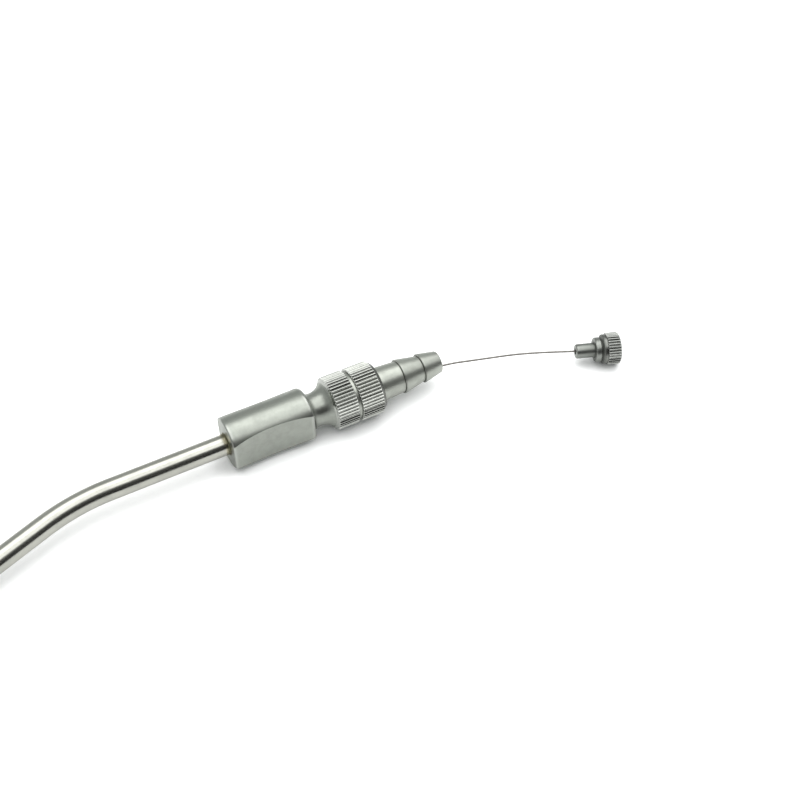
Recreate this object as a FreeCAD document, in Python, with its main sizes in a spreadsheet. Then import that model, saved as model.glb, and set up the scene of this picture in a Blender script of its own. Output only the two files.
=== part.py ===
"""Frazier suction tube with its cleaning stylet drawn part of the way out.

A bent steel tube is brazed into a turned handle with two thumb saddles. The handle ends in a
straight-knurled collar. A second turned piece screws into it, with a knurled collar of its own
and a stepped hose barb. A thin wire with a knurled knob runs through the whole lumen.

Row frame, in millimetres: the origin is the centre of the hose barb's mouth, +X runs out of
the mouth along the handle's axis, +Z is up, and the instrument lies on a table below it.
"""
import FreeCAD, Part
import Sketcher
import math
import os

# Sizes, in millimetres and degrees. Each one can be changed by itself.
SIZES = [
    # Suction tube
    ("tube_diameter", 4.0),
    ("tube_wall", 0.4),
    ("tube_seat_depth", 5.0),
    ("bend_setback", 28.7),
    ("bend_radius", 38.0),
    ("bend_angle", 19.5),
    ("tip_length", 102.0),
    # Braze between the tube and the handle
    ("braze_gap", 0.02),
    ("braze_fillet", 0.45),
    # Handle grip
    ("handle_length", 16.2),
    ("handle_diameter", 10.0),
    ("handle_edge", 0.4),
    ("saddle_radius", 42.0),
    ("saddle_web", 6.6),
    ("vent_setback", 7.2),
    ("vent_length", 2.6),
    ("vent_wide_diameter", 2.2),
    ("vent_narrow_diameter", 0.9),
    ("neck_diameter", 6.5),
    ("neck_length", 1.92),
    ("neck_heel_length", 0.9),
    ("neck_heel_rise", 0.4),
    ("cove_radius", 2.4),
    # Knurled collars
    ("collar_diameter", 10.4),
    ("knurl_shoulder", 0.04),
    ("handle_collar_width", 4.3),
    ("nozzle_collar_width", 5.65),
    ("seat_groove_width", 0.75),
    ("seat_groove_depth", 0.5),
    ("nozzle_collar_chamfer", 0.55),
    ("knurl_count", 48),
    ("knurl_depth", 0.22),
    ("knurl_flank", 45.0),
    ("knurl_stock", 0.1),
    # Screwed spigot of the nozzle
    ("spigot_diameter", 6.0),
    ("spigot_length", 4.4),
    ("spigot_clearance", 0.05),
    ("spigot_end_gap", 0.3),
    # Hose barb
    ("nozzle_bore", 3.0),
    ("root_diameter", 6.8),
    ("root_end_diameter", 6.2),
    ("root_length", 5.0),
    ("first_barb_diameter", 6.9),
    ("first_barb_end_diameter", 5.1),
    ("first_barb_length", 4.5),
    ("second_barb_diameter", 5.9),
    ("mouth_diameter", 4.3),
    ("second_barb_length", 4.0),
    ("mouth_chamfer", 0.25),
    # Stylet wire
    ("wire_diameter", 0.4),
    ("wire_clearance", 0.08),
    ("wire_bend_radius", 12.0),
    ("stylet_pull_out", 30.0),
    # Stylet knob
    ("nose_diameter", 2.88),
    ("nose_length", 3.75),
    ("nose_hole_diameter", 1.0),
    ("nose_hole_depth", 1.2),
    ("wire_hole_clearance", 0.02),
    ("wire_hole_depth", 3.0),
    ("flange_diameter", 4.9),
    ("flange_width", 1.25),
    ("flange_chamfer", 0.35),
    ("knob_cone_length", 0.5),
    ("knob_land", 0.55),
    ("knob_diameter", 6.34),
    ("knob_width", 2.65),
    ("knob_chamfer", 0.3),
    ("knob_knurl_count", 34),
    ("knob_knurl_depth", 0.2),
    # Where the knob lies, seen from above
    ("knob_reach", 26.15),
    ("knob_sideways", 8.7),
    ("knob_yaw", 21.0),
]

# Lengths that differ by less than this are taken as one.
NEAR = 1e-4

# Grooves and saddles are cut from this far outside the metal, so that no sliver is left.
OVERCUT = 0.5

# Each crest is planed flat over this share of the knurl's pitch, well into both grooves.
CREST_SHARE = 0.95

# The cone behind a knurled band drops by this share of its length.
END_SLOPE = 0.5

# The wire bends over the lip of the mouth, this far in front of it.
WIRE_LIP_REACH = 0.8

# It bows towards +Y between the mouth and the knob: at this share of that way it stands this
# many millimetres off the straight line.
WIRE_BOW = (0.74, 1.0)

# Each bend of the wire takes up this share of the shorter run beside it, on either side.
WIRE_ARC_SHARE = 0.12

# Its volume is its section times its length, to within this share.
WIRE_TOLERANCE = 0.01

doc = FreeCAD.newDocument("FrazierSuctionTube")


class Bound:
    """A number that also knows the sheet expression it comes from."""

    def __init__(self, value, text=None):
        self.value = float(value)
        self.text = text if text is not None else repr(float(value))

    def __add__(self, other):
        other = as_bound(other)
        return Bound(self.value + other.value, f"({self.text} + {other.text})")

    def __sub__(self, other):
        other = as_bound(other)
        return Bound(self.value - other.value, f"({self.text} - {other.text})")

    def __mul__(self, other):
        other = as_bound(other)
        return Bound(self.value * other.value, f"({self.text} * {other.text})")

    def __truediv__(self, other):
        other = as_bound(other)
        return Bound(self.value / other.value, f"({self.text} / {other.text})")

    def __neg__(self):
        return Bound(-self.value, f"(0 - {self.text})")


def as_bound(number):
    return number if isinstance(number, Bound) else Bound(number)


def square_root(bound):
    return Bound(math.sqrt(bound.value), f"sqrt({bound.text})")


def sine(angle):
    return Bound(math.sin(math.radians(angle.value)), f"sin({angle.text})")


def cosine(angle):
    return Bound(math.cos(math.radians(angle.value)), f"cos({angle.text})")


def tangent(angle):
    return Bound(math.tan(math.radians(angle.value)), f"tan({angle.text})")


def arc_cosine(bound):
    return Bound(math.degrees(math.acos(bound.value)), f"acos({bound.text})")


def smaller(one, other):
    return Bound(min(one.value, other.value), f"min({one.text}; {other.text})")


def larger(one, other):
    return Bound(max(one.value, other.value), f"max({one.text}; {other.text})")


ZERO = Bound(0.0)


def make_sheet():
    """The spreadsheet that drives the model: a name and a number on each row."""
    new_sheet = doc.addObject("Spreadsheet::Sheet", "Sizes")
    for row, (name, number) in enumerate(SIZES, start=1):
        new_sheet.set(f"A{row}", name)
        new_sheet.set(f"B{row}", str(number))
        new_sheet.setAlias(f"B{row}", name)
    doc.recompute()
    return new_sheet


sheet = make_sheet()


def size(name):
    return Bound(getattr(sheet, name), f"Sizes.{name}")


# Sizes that the pieces share
tube_radius = size("tube_diameter") / 2
lumen_radius = tube_radius - size("tube_wall")
socket_radius = tube_radius + size("braze_gap")
bore_radius = size("nozzle_bore") / 2
handle_radius = size("handle_diameter") / 2
neck_radius = size("neck_diameter") / 2
collar_radius = size("collar_diameter") / 2
knob_radius = size("knob_diameter") / 2
wire_radius = size("wire_diameter") / 2

# Each knurled band stands just proud of the metal beside it, by its grooves and a little more.
# The neck runs straight, then flares in a cove up to that lower radius of the collar.
rim_radius = collar_radius - size("knurl_depth") - size("knurl_shoulder")
cove_start = size("handle_length") + size("neck_length")
cove_drop = neck_radius + size("cove_radius") - rim_radius
cove_reach = square_root(size("cove_radius") * size("cove_radius") - cove_drop * cove_drop)
collar_start = cove_start + cove_reach
handle_reach = collar_start + size("handle_collar_width")
spigot_socket_start = handle_reach - size("spigot_length") - size("spigot_end_gap")

barb_start = size("nozzle_collar_width") + size("root_length")
nozzle_reach = barb_start + size("first_barb_length") + size("second_barb_length")
handle_place = -nozzle_reach - handle_reach

# The instrument lies on its collar or its grip, whichever is thicker, on the tip of the tube
# and on the rim of the knob. The tube is rolled about the handle's axis until its tip is down.
rest_radius = larger(collar_radius, handle_radius)
tip_sideways = size("tip_length") * sine(size("bend_angle"))
roll_sine = (rest_radius - tube_radius) / tip_sideways
roll_angle = Bound(math.degrees(math.asin(roll_sine.value)), f"asin({roll_sine.text})")


class Arc:
    """A round stretch of an outline, which ends at a point and turns about a centre."""

    def __init__(self, end, centre, radius, turns_left):
        self.end = end
        self.centre = centre
        self.radius = radius
        self.turns_left = turns_left


def flat(point):
    return FreeCAD.Vector(point[0].value, point[1].value, 0)


def new_body(label):
    body = doc.addObject("PartDesign::Body", label)
    body.Label = label
    return body


def new_sketch(body, name, plane, offset=None):
    """A sketch on one of the body's own planes, moved along its normal by the offset."""
    support = next(item for item in body.Origin.OriginFeatures if item.Role == plane)
    sketch = body.newObject("Sketcher::SketchObject", name)
    sketch.AttachmentSupport = [(support, "")]
    sketch.MapMode = "FlatFace"
    if offset is not None:
        sketch.setExpression("AttachmentOffset.Base.z", offset.text)
    return sketch


def bind(sketch, constraint, bound):
    """Adds a dimension to a sketch and ties it to the sheet."""
    index = sketch.addConstraint(constraint)
    sketch.setExpression(f"Constraints[{index}]", bound.text)


def pin(sketch, geometry, end, point):
    """Ties one end of a line or an arc to its place, measured from the sketch's origin."""
    for bound, kind, axis in ((point[0], "DistanceX", -2), (point[1], "DistanceY", -1)):
        if bound is ZERO:
            sketch.addConstraint(Sketcher.Constraint("PointOnObject", geometry, end, axis))
        else:
            bind(sketch, Sketcher.Constraint(kind, -1, 1, geometry, end, bound.value), bound)


def add_arc(sketch, start, arc):
    """Adds an arc with its radius, and says which of its ends is the first and the last."""
    spokes = [flat(start) - flat(arc.centre), flat(arc.end) - flat(arc.centre)]
    angles = [math.atan2(spoke.y, spoke.x) for spoke in spokes]
    if not arc.turns_left:
        angles.reverse()
    circle = Part.Circle(flat(arc.centre), FreeCAD.Vector(0, 0, 1), arc.radius.value)
    geometry = sketch.addGeometry(Part.ArcOfCircle(circle, angles[0], angles[1]), False)
    bind(sketch, Sketcher.Constraint("Radius", geometry, arc.radius.value), arc.radius)
    return (geometry, 1, 2) if arc.turns_left else (geometry, 2, 1)


def draw_outline(sketch, start, steps, closed=True):
    """Draws lines and arcs one after another and ties every corner to the sheet."""
    here = start
    drawn = []
    for step in steps:
        if isinstance(step, Arc):
            drawn.append(add_arc(sketch, here, step))
            here = step.end
        else:
            line = Part.LineSegment(flat(here), flat(step))
            drawn.append((sketch.addGeometry(line, False), 1, 2))
            here = step
        geometry, first_end, last_end = drawn[-1]
        if len(drawn) == 1:
            pin(sketch, geometry, first_end, start)
        else:
            before, _, before_end = drawn[-2]
            joint = Sketcher.Constraint("Coincident", before, before_end, geometry, first_end)
            sketch.addConstraint(joint)
        if closed and len(drawn) == len(steps):
            first, start_end, _ = drawn[0]
            joint = Sketcher.Constraint("Coincident", geometry, last_end, first, start_end)
            sketch.addConstraint(joint)
        else:
            pin(sketch, geometry, last_end, here)


def draw_circle(sketch, diameter):
    """A circle about the sketch's origin."""
    circle = Part.Circle(FreeCAD.Vector(0, 0, 0), FreeCAD.Vector(0, 0, 1), diameter.value / 2)
    geometry = sketch.addGeometry(circle, False)
    sketch.addConstraint(Sketcher.Constraint("Coincident", geometry, 3, -1, 1))
    bind(sketch, Sketcher.Constraint("Diameter", geometry, diameter.value), diameter)


def cove_corners(start, foot, radius, rise, flats):
    """Corners inside a cove that leaves its foot level and climbs by the rise in a few flats."""
    sweep = arc_cosine((radius - rise) / radius)
    corners = []
    for step in range(1, flats):
        angle = sweep * (step / flats)
        corners.append((start + radius * sine(angle), foot + radius - radius * cosine(angle)))
    return corners


def turn(body, name, start, steps):
    """A turned piece: an outline of length and radius, spun about the X axis."""
    sketch = new_sketch(body, name + "Outline", "XY_Plane")
    draw_outline(sketch, start, steps)
    feature = body.newObject("PartDesign::Revolution", name)
    feature.Profile = sketch
    feature.ReferenceAxis = (sketch, ["H_Axis"])
    feature.Angle = 360.0
    doc.recompute()
    return feature


def confirm_cut(body, volume_before, name):
    """Recomputes, and stops if the last cut took nothing away."""
    doc.recompute()
    if body.Shape.Volume > volume_before - NEAR:
        raise RuntimeError(name + " cut nothing")


def cut_along(body, name, start, length, first, steps):
    """Cuts an outline across the axis along a length of the piece."""
    sketch = new_sketch(body, name + "Outline", "YZ_Plane", start)
    draw_outline(sketch, first, steps)
    cut = body.newObject("PartDesign::Pocket", name + "Cut")
    cut.Profile = sketch
    cut.Reversed = True
    cut.setExpression("Length", length.text)
    volume_before = body.Shape.Volume
    confirm_cut(body, volume_before, name + "Cut")
    return cut


def cut_knurl(body, name, start, length, radius, depth, count):
    """Straight knurling: a V groove and the flat crest beside it, repeated round the collar."""
    top = radius + OVERCUT
    floor = (ZERO, radius - depth)
    half_width = (depth + OVERCUT) * tangent(size("knurl_flank"))
    groove_steps = [(half_width, top), (-half_width, top), floor]
    groove = cut_along(body, name + "Groove", start, length, floor, groove_steps)

    half_pitch = Bound(180.0) / count
    reach = radius * tangent(half_pitch) * CREST_SHARE
    corners = []
    for across, height in ((-reach, radius), (reach, radius), (reach, top), (-reach, top)):
        corners.append((across * cosine(half_pitch) + height * sine(half_pitch),
                        height * cosine(half_pitch) - across * sine(half_pitch)))
    crest_steps = corners[1:] + corners[:1]
    crest = cut_along(body, name + "Crest", start, length, corners[0], crest_steps)

    pattern = body.newObject("PartDesign::PolarPattern", name)
    pattern.Originals = [groove, crest]
    pattern.Axis = (groove.Profile[0], ["N_Axis"])
    pattern.Angle = 360.0
    pattern.setExpression("Occurrences", count.text)
    volume_one_groove = body.Shape.Volume
    body.Tip = pattern
    confirm_cut(body, volume_one_groove, name)


def make_suction_tube():
    """The bent tube: one ring section drawn along a straight, an arc and a straight."""
    body = new_body("suction_tube")
    radius = size("bend_radius")
    angle = size("bend_angle")
    straight_end = radius * tangent(angle / 2) - size("bend_setback")
    bend_end = (straight_end - radius * sine(angle), radius * (cosine(angle) - 1))
    tip = (-size("bend_setback") - size("tip_length") * cosine(angle), -tip_sideways)
    path = new_sketch(body, "TubePath", "XY_Plane")
    bend = Arc(bend_end, (straight_end, -radius), radius, turns_left=True)
    draw_outline(path, (size("tube_seat_depth"), ZERO), [(straight_end, ZERO), bend, tip],
                 closed=False)
    section = new_sketch(body, "TubeSection", "YZ_Plane", size("tube_seat_depth"))
    draw_circle(section, tube_radius * 2)
    draw_circle(section, lumen_radius * 2)
    pipe = body.newObject("PartDesign::AdditivePipe", "TubeSweep")
    pipe.Profile = section
    pipe.Spine = (path, ["Edge1", "Edge2", "Edge3"])
    roll = FreeCAD.Rotation(FreeCAD.Vector(1, 0, 0), roll_angle.value)
    body.Placement = FreeCAD.Placement(FreeCAD.Vector(handle_place.value, 0, 0), roll)
    body.setExpression("Placement.Rotation.Angle", roll_angle.text)
    body.setExpression("Placement.Base.x", handle_place.text)
    return body


def make_braze_ring():
    """The ring of braze: a hollow fillet between the tube and the end of the handle."""
    body = new_body("braze_ring")
    fillet = size("braze_fillet")
    turn(body, "Braze", (ZERO, socket_radius),
         [(ZERO, socket_radius + fillet), (-fillet, socket_radius), (ZERO, socket_radius)])
    body.setExpression("Placement.Base.x", handle_place.text)
    return body


def make_handle_grip():
    """The grip, its waisted neck and the first collar, turned from one bar."""
    body = new_body("handle_grip")
    length = size("handle_length")
    edge = size("handle_edge")
    thread_radius = size("spigot_diameter") / 2 + size("spigot_clearance")
    seat_depth = size("tube_seat_depth")
    cove = cove_corners(cove_start, neck_radius, size("cove_radius"), rim_radius - neck_radius,
                        flats=2)
    turn(body, "GripTurning", (ZERO, socket_radius), [
        (ZERO, handle_radius - edge),
        (edge, handle_radius),
        (length - edge, handle_radius),
        (length, handle_radius - edge),
        (length, neck_radius + size("neck_heel_rise")),
        (length + smaller(size("neck_heel_length"), size("neck_length") / 2), neck_radius),
        (cove_start, neck_radius),
        *cove,
        (collar_start, rim_radius),
        (collar_start, collar_radius + size("knurl_stock")),
        (handle_reach, collar_radius + size("knurl_stock")),
        (handle_reach, thread_radius),
        (spigot_socket_start, thread_radius),
        (spigot_socket_start, bore_radius),
        (seat_depth, bore_radius),
        (seat_depth, socket_radius),
        (ZERO, socket_radius),
    ])
    cut_saddles(body)
    cut_vent(body)
    cut_knurl(body, "GripKnurl", collar_start, size("handle_collar_width"), collar_radius,
              size("knurl_depth"), size("knurl_count"))
    body.setExpression("Placement.Base.x", handle_place.text)
    return body


def cut_saddles(body):
    """Two shallow hollows for finger and thumb, on opposite sides of the grip."""
    length = size("handle_length")
    sweep = size("saddle_radius")
    half_web = size("saddle_web") / 2
    reach = length / 2 + smaller(Bound(OVERCUT), size("neck_length") / 2)
    end_depth = half_web + sweep - square_root(sweep * sweep - reach * reach)
    outside = handle_radius + OVERCUT
    middle = length / 2
    hollow = Arc((middle + reach, -end_depth), (middle, -half_web - sweep), sweep,
                 turns_left=False)
    sketch = new_sketch(body, "SaddleOutline", "XY_Plane")
    draw_outline(sketch, (middle - reach, -end_depth), [
        hollow,
        (middle + reach, -outside),
        (middle - reach, -outside),
        (middle - reach, -end_depth),
    ])
    saddle = body.newObject("PartDesign::Pocket", "SaddleCut")
    saddle.Profile = sketch
    saddle.Midplane = True
    saddle.setExpression("Length", (outside * 2).text)
    volume_turned = body.Shape.Volume
    confirm_cut(body, volume_turned, "SaddleCut")
    volume_one_saddle = body.Shape.Volume
    mirrored = body.newObject("PartDesign::Mirrored", "SaddlePair")
    mirrored.Originals = [saddle]
    mirrored.MirrorPlane = (sketch, ["H_Axis"])
    body.Tip = mirrored
    confirm_cut(body, volume_one_saddle, "SaddlePair")


def cut_vent(body):
    """The drop-shaped finger vent, from the far saddle down to the lumen."""
    wide = size("vent_wide_diameter") / 2
    narrow = size("vent_narrow_diameter") / 2
    span = size("vent_length")
    centre = size("vent_setback")
    # The straight sides touch both round ends, so their lean follows from the two radii.
    lean_sine = (wide - narrow) / span
    lean_cosine = square_root(Bound(1.0) - lean_sine * lean_sine)
    wide_touch_x = centre + wide * lean_sine
    narrow_touch_x = centre + span + narrow * lean_sine
    tail = Arc((narrow_touch_x, narrow * lean_cosine), (centre + span, ZERO), narrow,
               turns_left=True)
    head = Arc((wide_touch_x, -wide * lean_cosine), (centre, ZERO), wide, turns_left=True)
    sketch = new_sketch(body, "VentOutline", "XZ_Plane")
    draw_outline(sketch, (wide_touch_x, -wide * lean_cosine), [
        (narrow_touch_x, -narrow * lean_cosine),
        tail,
        (wide_touch_x, wide * lean_cosine),
        head,
    ])
    vent = body.newObject("PartDesign::Pocket", "VentCut")
    vent.Profile = sketch
    vent.setExpression("Length", (handle_radius + OVERCUT).text)
    volume_before = body.Shape.Volume
    confirm_cut(body, volume_before, "VentCut")


def make_hose_nozzle():
    """The screwed spigot, the second collar and the stepped hose barb, turned in one piece."""
    body = new_body("hose_nozzle")
    seat_end = size("seat_groove_width")
    seat_radius = smaller(collar_radius - size("seat_groove_depth"), rim_radius)
    width = size("nozzle_collar_width")
    band_end = width - size("nozzle_collar_chamfer")
    spigot_end = -size("spigot_length")
    spigot_radius = size("spigot_diameter") / 2
    second_start = barb_start + size("first_barb_length")
    mouth_radius = size("mouth_diameter") / 2
    lip = smaller(size("mouth_chamfer"), (mouth_radius - bore_radius) / 2)
    turn(body, "NozzleTurning", (spigot_end, bore_radius), [
        (spigot_end, spigot_radius),
        (ZERO, spigot_radius),
        (ZERO, seat_radius),
        (seat_end, seat_radius),
        (seat_end, collar_radius + size("knurl_stock")),
        (band_end, collar_radius + size("knurl_stock")),
        (band_end, rim_radius),
        (width, rim_radius - size("nozzle_collar_chamfer") * END_SLOPE),
        (width, size("root_diameter") / 2),
        (barb_start, size("root_end_diameter") / 2),
        (barb_start, size("first_barb_diameter") / 2),
        (second_start, size("first_barb_end_diameter") / 2),
        (second_start, size("second_barb_diameter") / 2),
        (nozzle_reach - lip, mouth_radius),
        (nozzle_reach, mouth_radius - lip),
        (nozzle_reach, bore_radius),
        (spigot_end, bore_radius),
    ])
    cut_knurl(body, "NozzleKnurl", seat_end, band_end - seat_end, collar_radius,
              size("knurl_depth"), size("knurl_count"))
    body.setExpression("Placement.Base.x", (-nozzle_reach).text)
    return body


def make_stylet_knob():
    """The knob: a nose that plugs the barb, a flange, a cone, a land and a knurled rim."""
    body = new_body("stylet_knob")
    nose_radius = size("nose_diameter") / 2
    flange_radius = size("flange_diameter") / 2
    bevel = size("flange_chamfer")
    flange_end = size("nose_length") + size("flange_width")
    rim = knob_radius - size("knob_knurl_depth") - size("knurl_shoulder")
    land_start = flange_end + size("knob_cone_length")
    knob_start = land_start + size("knob_land")
    knob_end = knob_start + size("knob_width")
    band_end = knob_end - size("knob_chamfer")
    hole_radius = wire_radius + size("wire_hole_clearance")
    hole_end = size("nose_hole_depth") + size("wire_hole_depth")
    turn(body, "KnobTurning", (ZERO, size("nose_hole_diameter") / 2), [
        (ZERO, nose_radius),
        (size("nose_length"), nose_radius),
        (size("nose_length"), flange_radius - bevel),
        (size("nose_length") + bevel, flange_radius),
        (flange_end, flange_radius),
        (land_start, rim),
        (knob_start, rim),
        (knob_start, knob_radius + size("knurl_stock")),
        (band_end, knob_radius + size("knurl_stock")),
        (band_end, rim),
        (knob_end, rim - size("knob_chamfer") * END_SLOPE),
        (knob_end, ZERO),
        (hole_end, ZERO),
        (hole_end, hole_radius),
        (size("nose_hole_depth"), hole_radius),
        (size("nose_hole_depth"), size("nose_hole_diameter") / 2),
        (ZERO, size("nose_hole_diameter") / 2),
    ])
    cut_knurl(body, "KnobKnurl", knob_start, band_end - knob_start, knob_radius,
              size("knob_knurl_depth"), size("knob_knurl_count"))
    yaw = FreeCAD.Rotation(FreeCAD.Vector(0, 0, -1), size("knob_yaw").value)
    body.Placement = FreeCAD.Placement(FreeCAD.Vector(0, 0, 0), yaw)
    body.setExpression("Placement.Rotation.Angle", size("knob_yaw").text)
    body.setExpression("Placement.Base.x", size("knob_reach").text)
    body.setExpression("Placement.Base.y", (-size("knob_sideways")).text)
    body.setExpression("Placement.Base.z", (knob_radius - rest_radius).text)
    return body


def route_of_wire(tube, knob):
    """Corner points of the wire, from its hidden end in the tube to the bottom of its hole."""
    narrowest = min(lumen_radius.value, bore_radius.value)
    offset = narrowest - wire_radius.value - size("wire_clearance").value
    low = FreeCAD.Vector(0, 0, -offset)
    angle = math.radians(size("bend_angle").value)
    setback = size("bend_setback").value
    along = size("tip_length").value - size("stylet_pull_out").value
    corner = FreeCAD.Vector(-setback, 0, 0)
    towards_tip = FreeCAD.Vector(-math.cos(angle), -math.sin(angle), 0)
    hidden_end = tube.Placement.multVec(corner + towards_tip * along) + low
    bend = tube.Placement.multVec(corner) + low

    mouth = low + FreeCAD.Vector(WIRE_LIP_REACH, 0, 0)
    nose = knob.Placement.multVec(FreeCAD.Vector(0, 0, 0))
    share, bow = WIRE_BOW
    bowed = mouth + (nose - mouth) * share + FreeCAD.Vector(0, bow, 0)
    hole_start = size("nose_hole_depth").value
    hole_end = hole_start + size("wire_hole_depth").value
    into_knob = knob.Placement.multVec(FreeCAD.Vector(hole_start / 2, 0, 0))
    seat = knob.Placement.multVec(FreeCAD.Vector(hole_end, 0, 0))
    return [hidden_end, bend, mouth, bowed, into_knob, seat]


def rounded_path(points, radii):
    """Straight runs through the points, with a tangent arc at each corner."""
    edges = []
    here = points[0]
    for index in range(1, len(points) - 1):
        corner = points[index]
        back = (points[index - 1] - corner).normalize()
        ahead = (points[index + 1] - corner).normalize()
        half_turn = (math.pi - back.getAngle(ahead)) / 2
        setback = radii[index - 1] * math.tan(half_turn)
        bulge = radii[index - 1] * (1 / math.cos(half_turn) - 1)
        arc_start = corner + back * setback
        arc_end = corner + ahead * setback
        arc_middle = corner + (back + ahead).normalize() * bulge
        edges.append(Part.LineSegment(here, arc_start).toShape())
        edges.append(Part.Arc(arc_start, arc_middle, arc_end).toShape())
        here = arc_end
    edges.append(Part.LineSegment(here, points[-1]).toShape())
    return Part.Wire(edges)


def bend_radii(points):
    """The wire's bend radii: its own inside the tube's bend, then as large as the runs allow."""
    radii = [size("wire_bend_radius").value]
    for index in range(2, len(points) - 1):
        back = points[index - 1] - points[index]
        ahead = points[index + 1] - points[index]
        half_turn = (math.pi - back.getAngle(ahead)) / 2
        shorter = min(back.Length, ahead.Length)
        radii.append(WIRE_ARC_SHARE * shorter / math.tan(half_turn))
    return radii


def make_stylet_wire(tube, knob):
    """The springy cleaning wire, bent by the lumen it lies in and by the knob it carries."""
    points = route_of_wire(tube, knob)
    radii = bend_radii(points)
    path = rounded_path(points, radii)
    heading = points[1] - points[0]
    circle = Part.Circle(points[0], heading, wire_radius.value)
    section = Part.Wire([circle.toShape()])
    solid = path.makePipeShell([section], True, False)
    expected = math.pi * wire_radius.value ** 2 * path.Length
    if abs(solid.Volume - expected) > WIRE_TOLERANCE * expected:
        raise RuntimeError("the wire's volume is not its section times its length")
    wire = doc.addObject("Part::Feature", "stylet_wire")
    wire.Label = "stylet_wire"
    wire.Shape = solid
    print("stylet wire: length", round(path.Length, 2), "bend radii",
          [round(radius, 1) for radius in radii])
    return wire


def check_document(pieces):
    """Stops if any object failed or any piece is empty or not valid."""
    for item in doc.Objects:
        if "Invalid" in item.State or "Error" in item.State:
            raise RuntimeError(f"{item.Name} failed: {item.State}")
    for piece in pieces:
        if piece.Shape.isNull() or not piece.Shape.isValid():
            raise RuntimeError(piece.Label + " has no valid shape")


def export(pieces):
    """Writes each piece to a STEP file named after its label."""
    os.makedirs("parts", exist_ok=True)
    for piece in pieces:
        piece.Shape.exportStep(os.path.join("parts", piece.Label + ".step"))
        print(piece.Label, "volume", round(piece.Shape.Volume, 3), "solids",
              len(piece.Shape.Solids))


suction_tube = make_suction_tube()
braze_ring = make_braze_ring()
handle_grip = make_handle_grip()
hose_nozzle = make_hose_nozzle()
stylet_knob = make_stylet_knob()
doc.recompute()
stylet_wire = make_stylet_wire(suction_tube, stylet_knob)
doc.recompute()

all_pieces = [suction_tube, braze_ring, handle_grip, hose_nozzle, stylet_wire, stylet_knob]
check_document(all_pieces)
export(all_pieces)
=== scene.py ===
"""Dresses the frazier suction tube: fine turned, knurled and drawn steel pieces, their finishes,
and the white table and soft lights that they are seen in.

Sizes in the classes are millimetres in the row frame: the origin is the centre of the barb's
mouth, +X runs out of it along the handle's axis and +Z is up. Meshes are made in metres.
"""
import logging
import math
from collections.abc import Iterator, Sequence
from contextlib import contextmanager
from dataclasses import dataclass, field
from enum import Enum

import bmesh
import bpy
import numpy as np
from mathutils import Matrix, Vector


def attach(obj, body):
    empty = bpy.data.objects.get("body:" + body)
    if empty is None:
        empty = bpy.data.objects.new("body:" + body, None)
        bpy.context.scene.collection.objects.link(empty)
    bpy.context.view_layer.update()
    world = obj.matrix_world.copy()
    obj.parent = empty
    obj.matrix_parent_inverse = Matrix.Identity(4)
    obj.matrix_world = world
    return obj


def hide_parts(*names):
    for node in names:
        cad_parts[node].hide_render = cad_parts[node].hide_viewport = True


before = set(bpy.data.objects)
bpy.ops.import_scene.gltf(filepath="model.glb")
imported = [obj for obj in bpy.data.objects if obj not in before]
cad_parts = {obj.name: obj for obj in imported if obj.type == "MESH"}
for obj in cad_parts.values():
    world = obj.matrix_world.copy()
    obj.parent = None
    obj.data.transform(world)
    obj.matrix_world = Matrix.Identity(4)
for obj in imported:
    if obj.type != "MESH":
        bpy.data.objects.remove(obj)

log = logging.getLogger("suction_tube")

MM = 0.001
PER_METRE = 1000.0
FULL_TURN = 2.0 * math.pi
QUARTER_TURN = 0.5 * math.pi
MERGE_DISTANCE = 1e-8

# Where the handle starts, behind the barb's mouth.
HANDLE_START = -43.8626

Colour = tuple[float, float, float]
Point = tuple[float, float, float]
Outline = list[tuple[float, float]]
SocketTable = dict[str, tuple[str, object]]

WHITE: Colour = (1.0, 1.0, 1.0)


class Slot(Enum):
    """The record's material slots."""

    POLISHED = "polished_steel"
    SATIN = "satin_steel"
    KNURLED = "knurled_steel"
    WIRE = "wire_steel"
    KNOB = "knob_steel"
    BRAZE = "silver_braze"


class Mark(Enum):
    """Attributes that the meshes carry for the knurling and for the finishes."""

    BAND = "knurl_band"
    EDGE = "worn_edge"
    # Painted shade: how far each point's colour is darkened in grooves, steps, holes and corners.
    PAINTED_SHADE = "groove"
    RUN = "run"
    SECTION = "section"


def rgba(colour: Colour) -> tuple[float, float, float, float]:
    """Adds full opacity to a colour."""
    return (*colour, 1.0)


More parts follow.
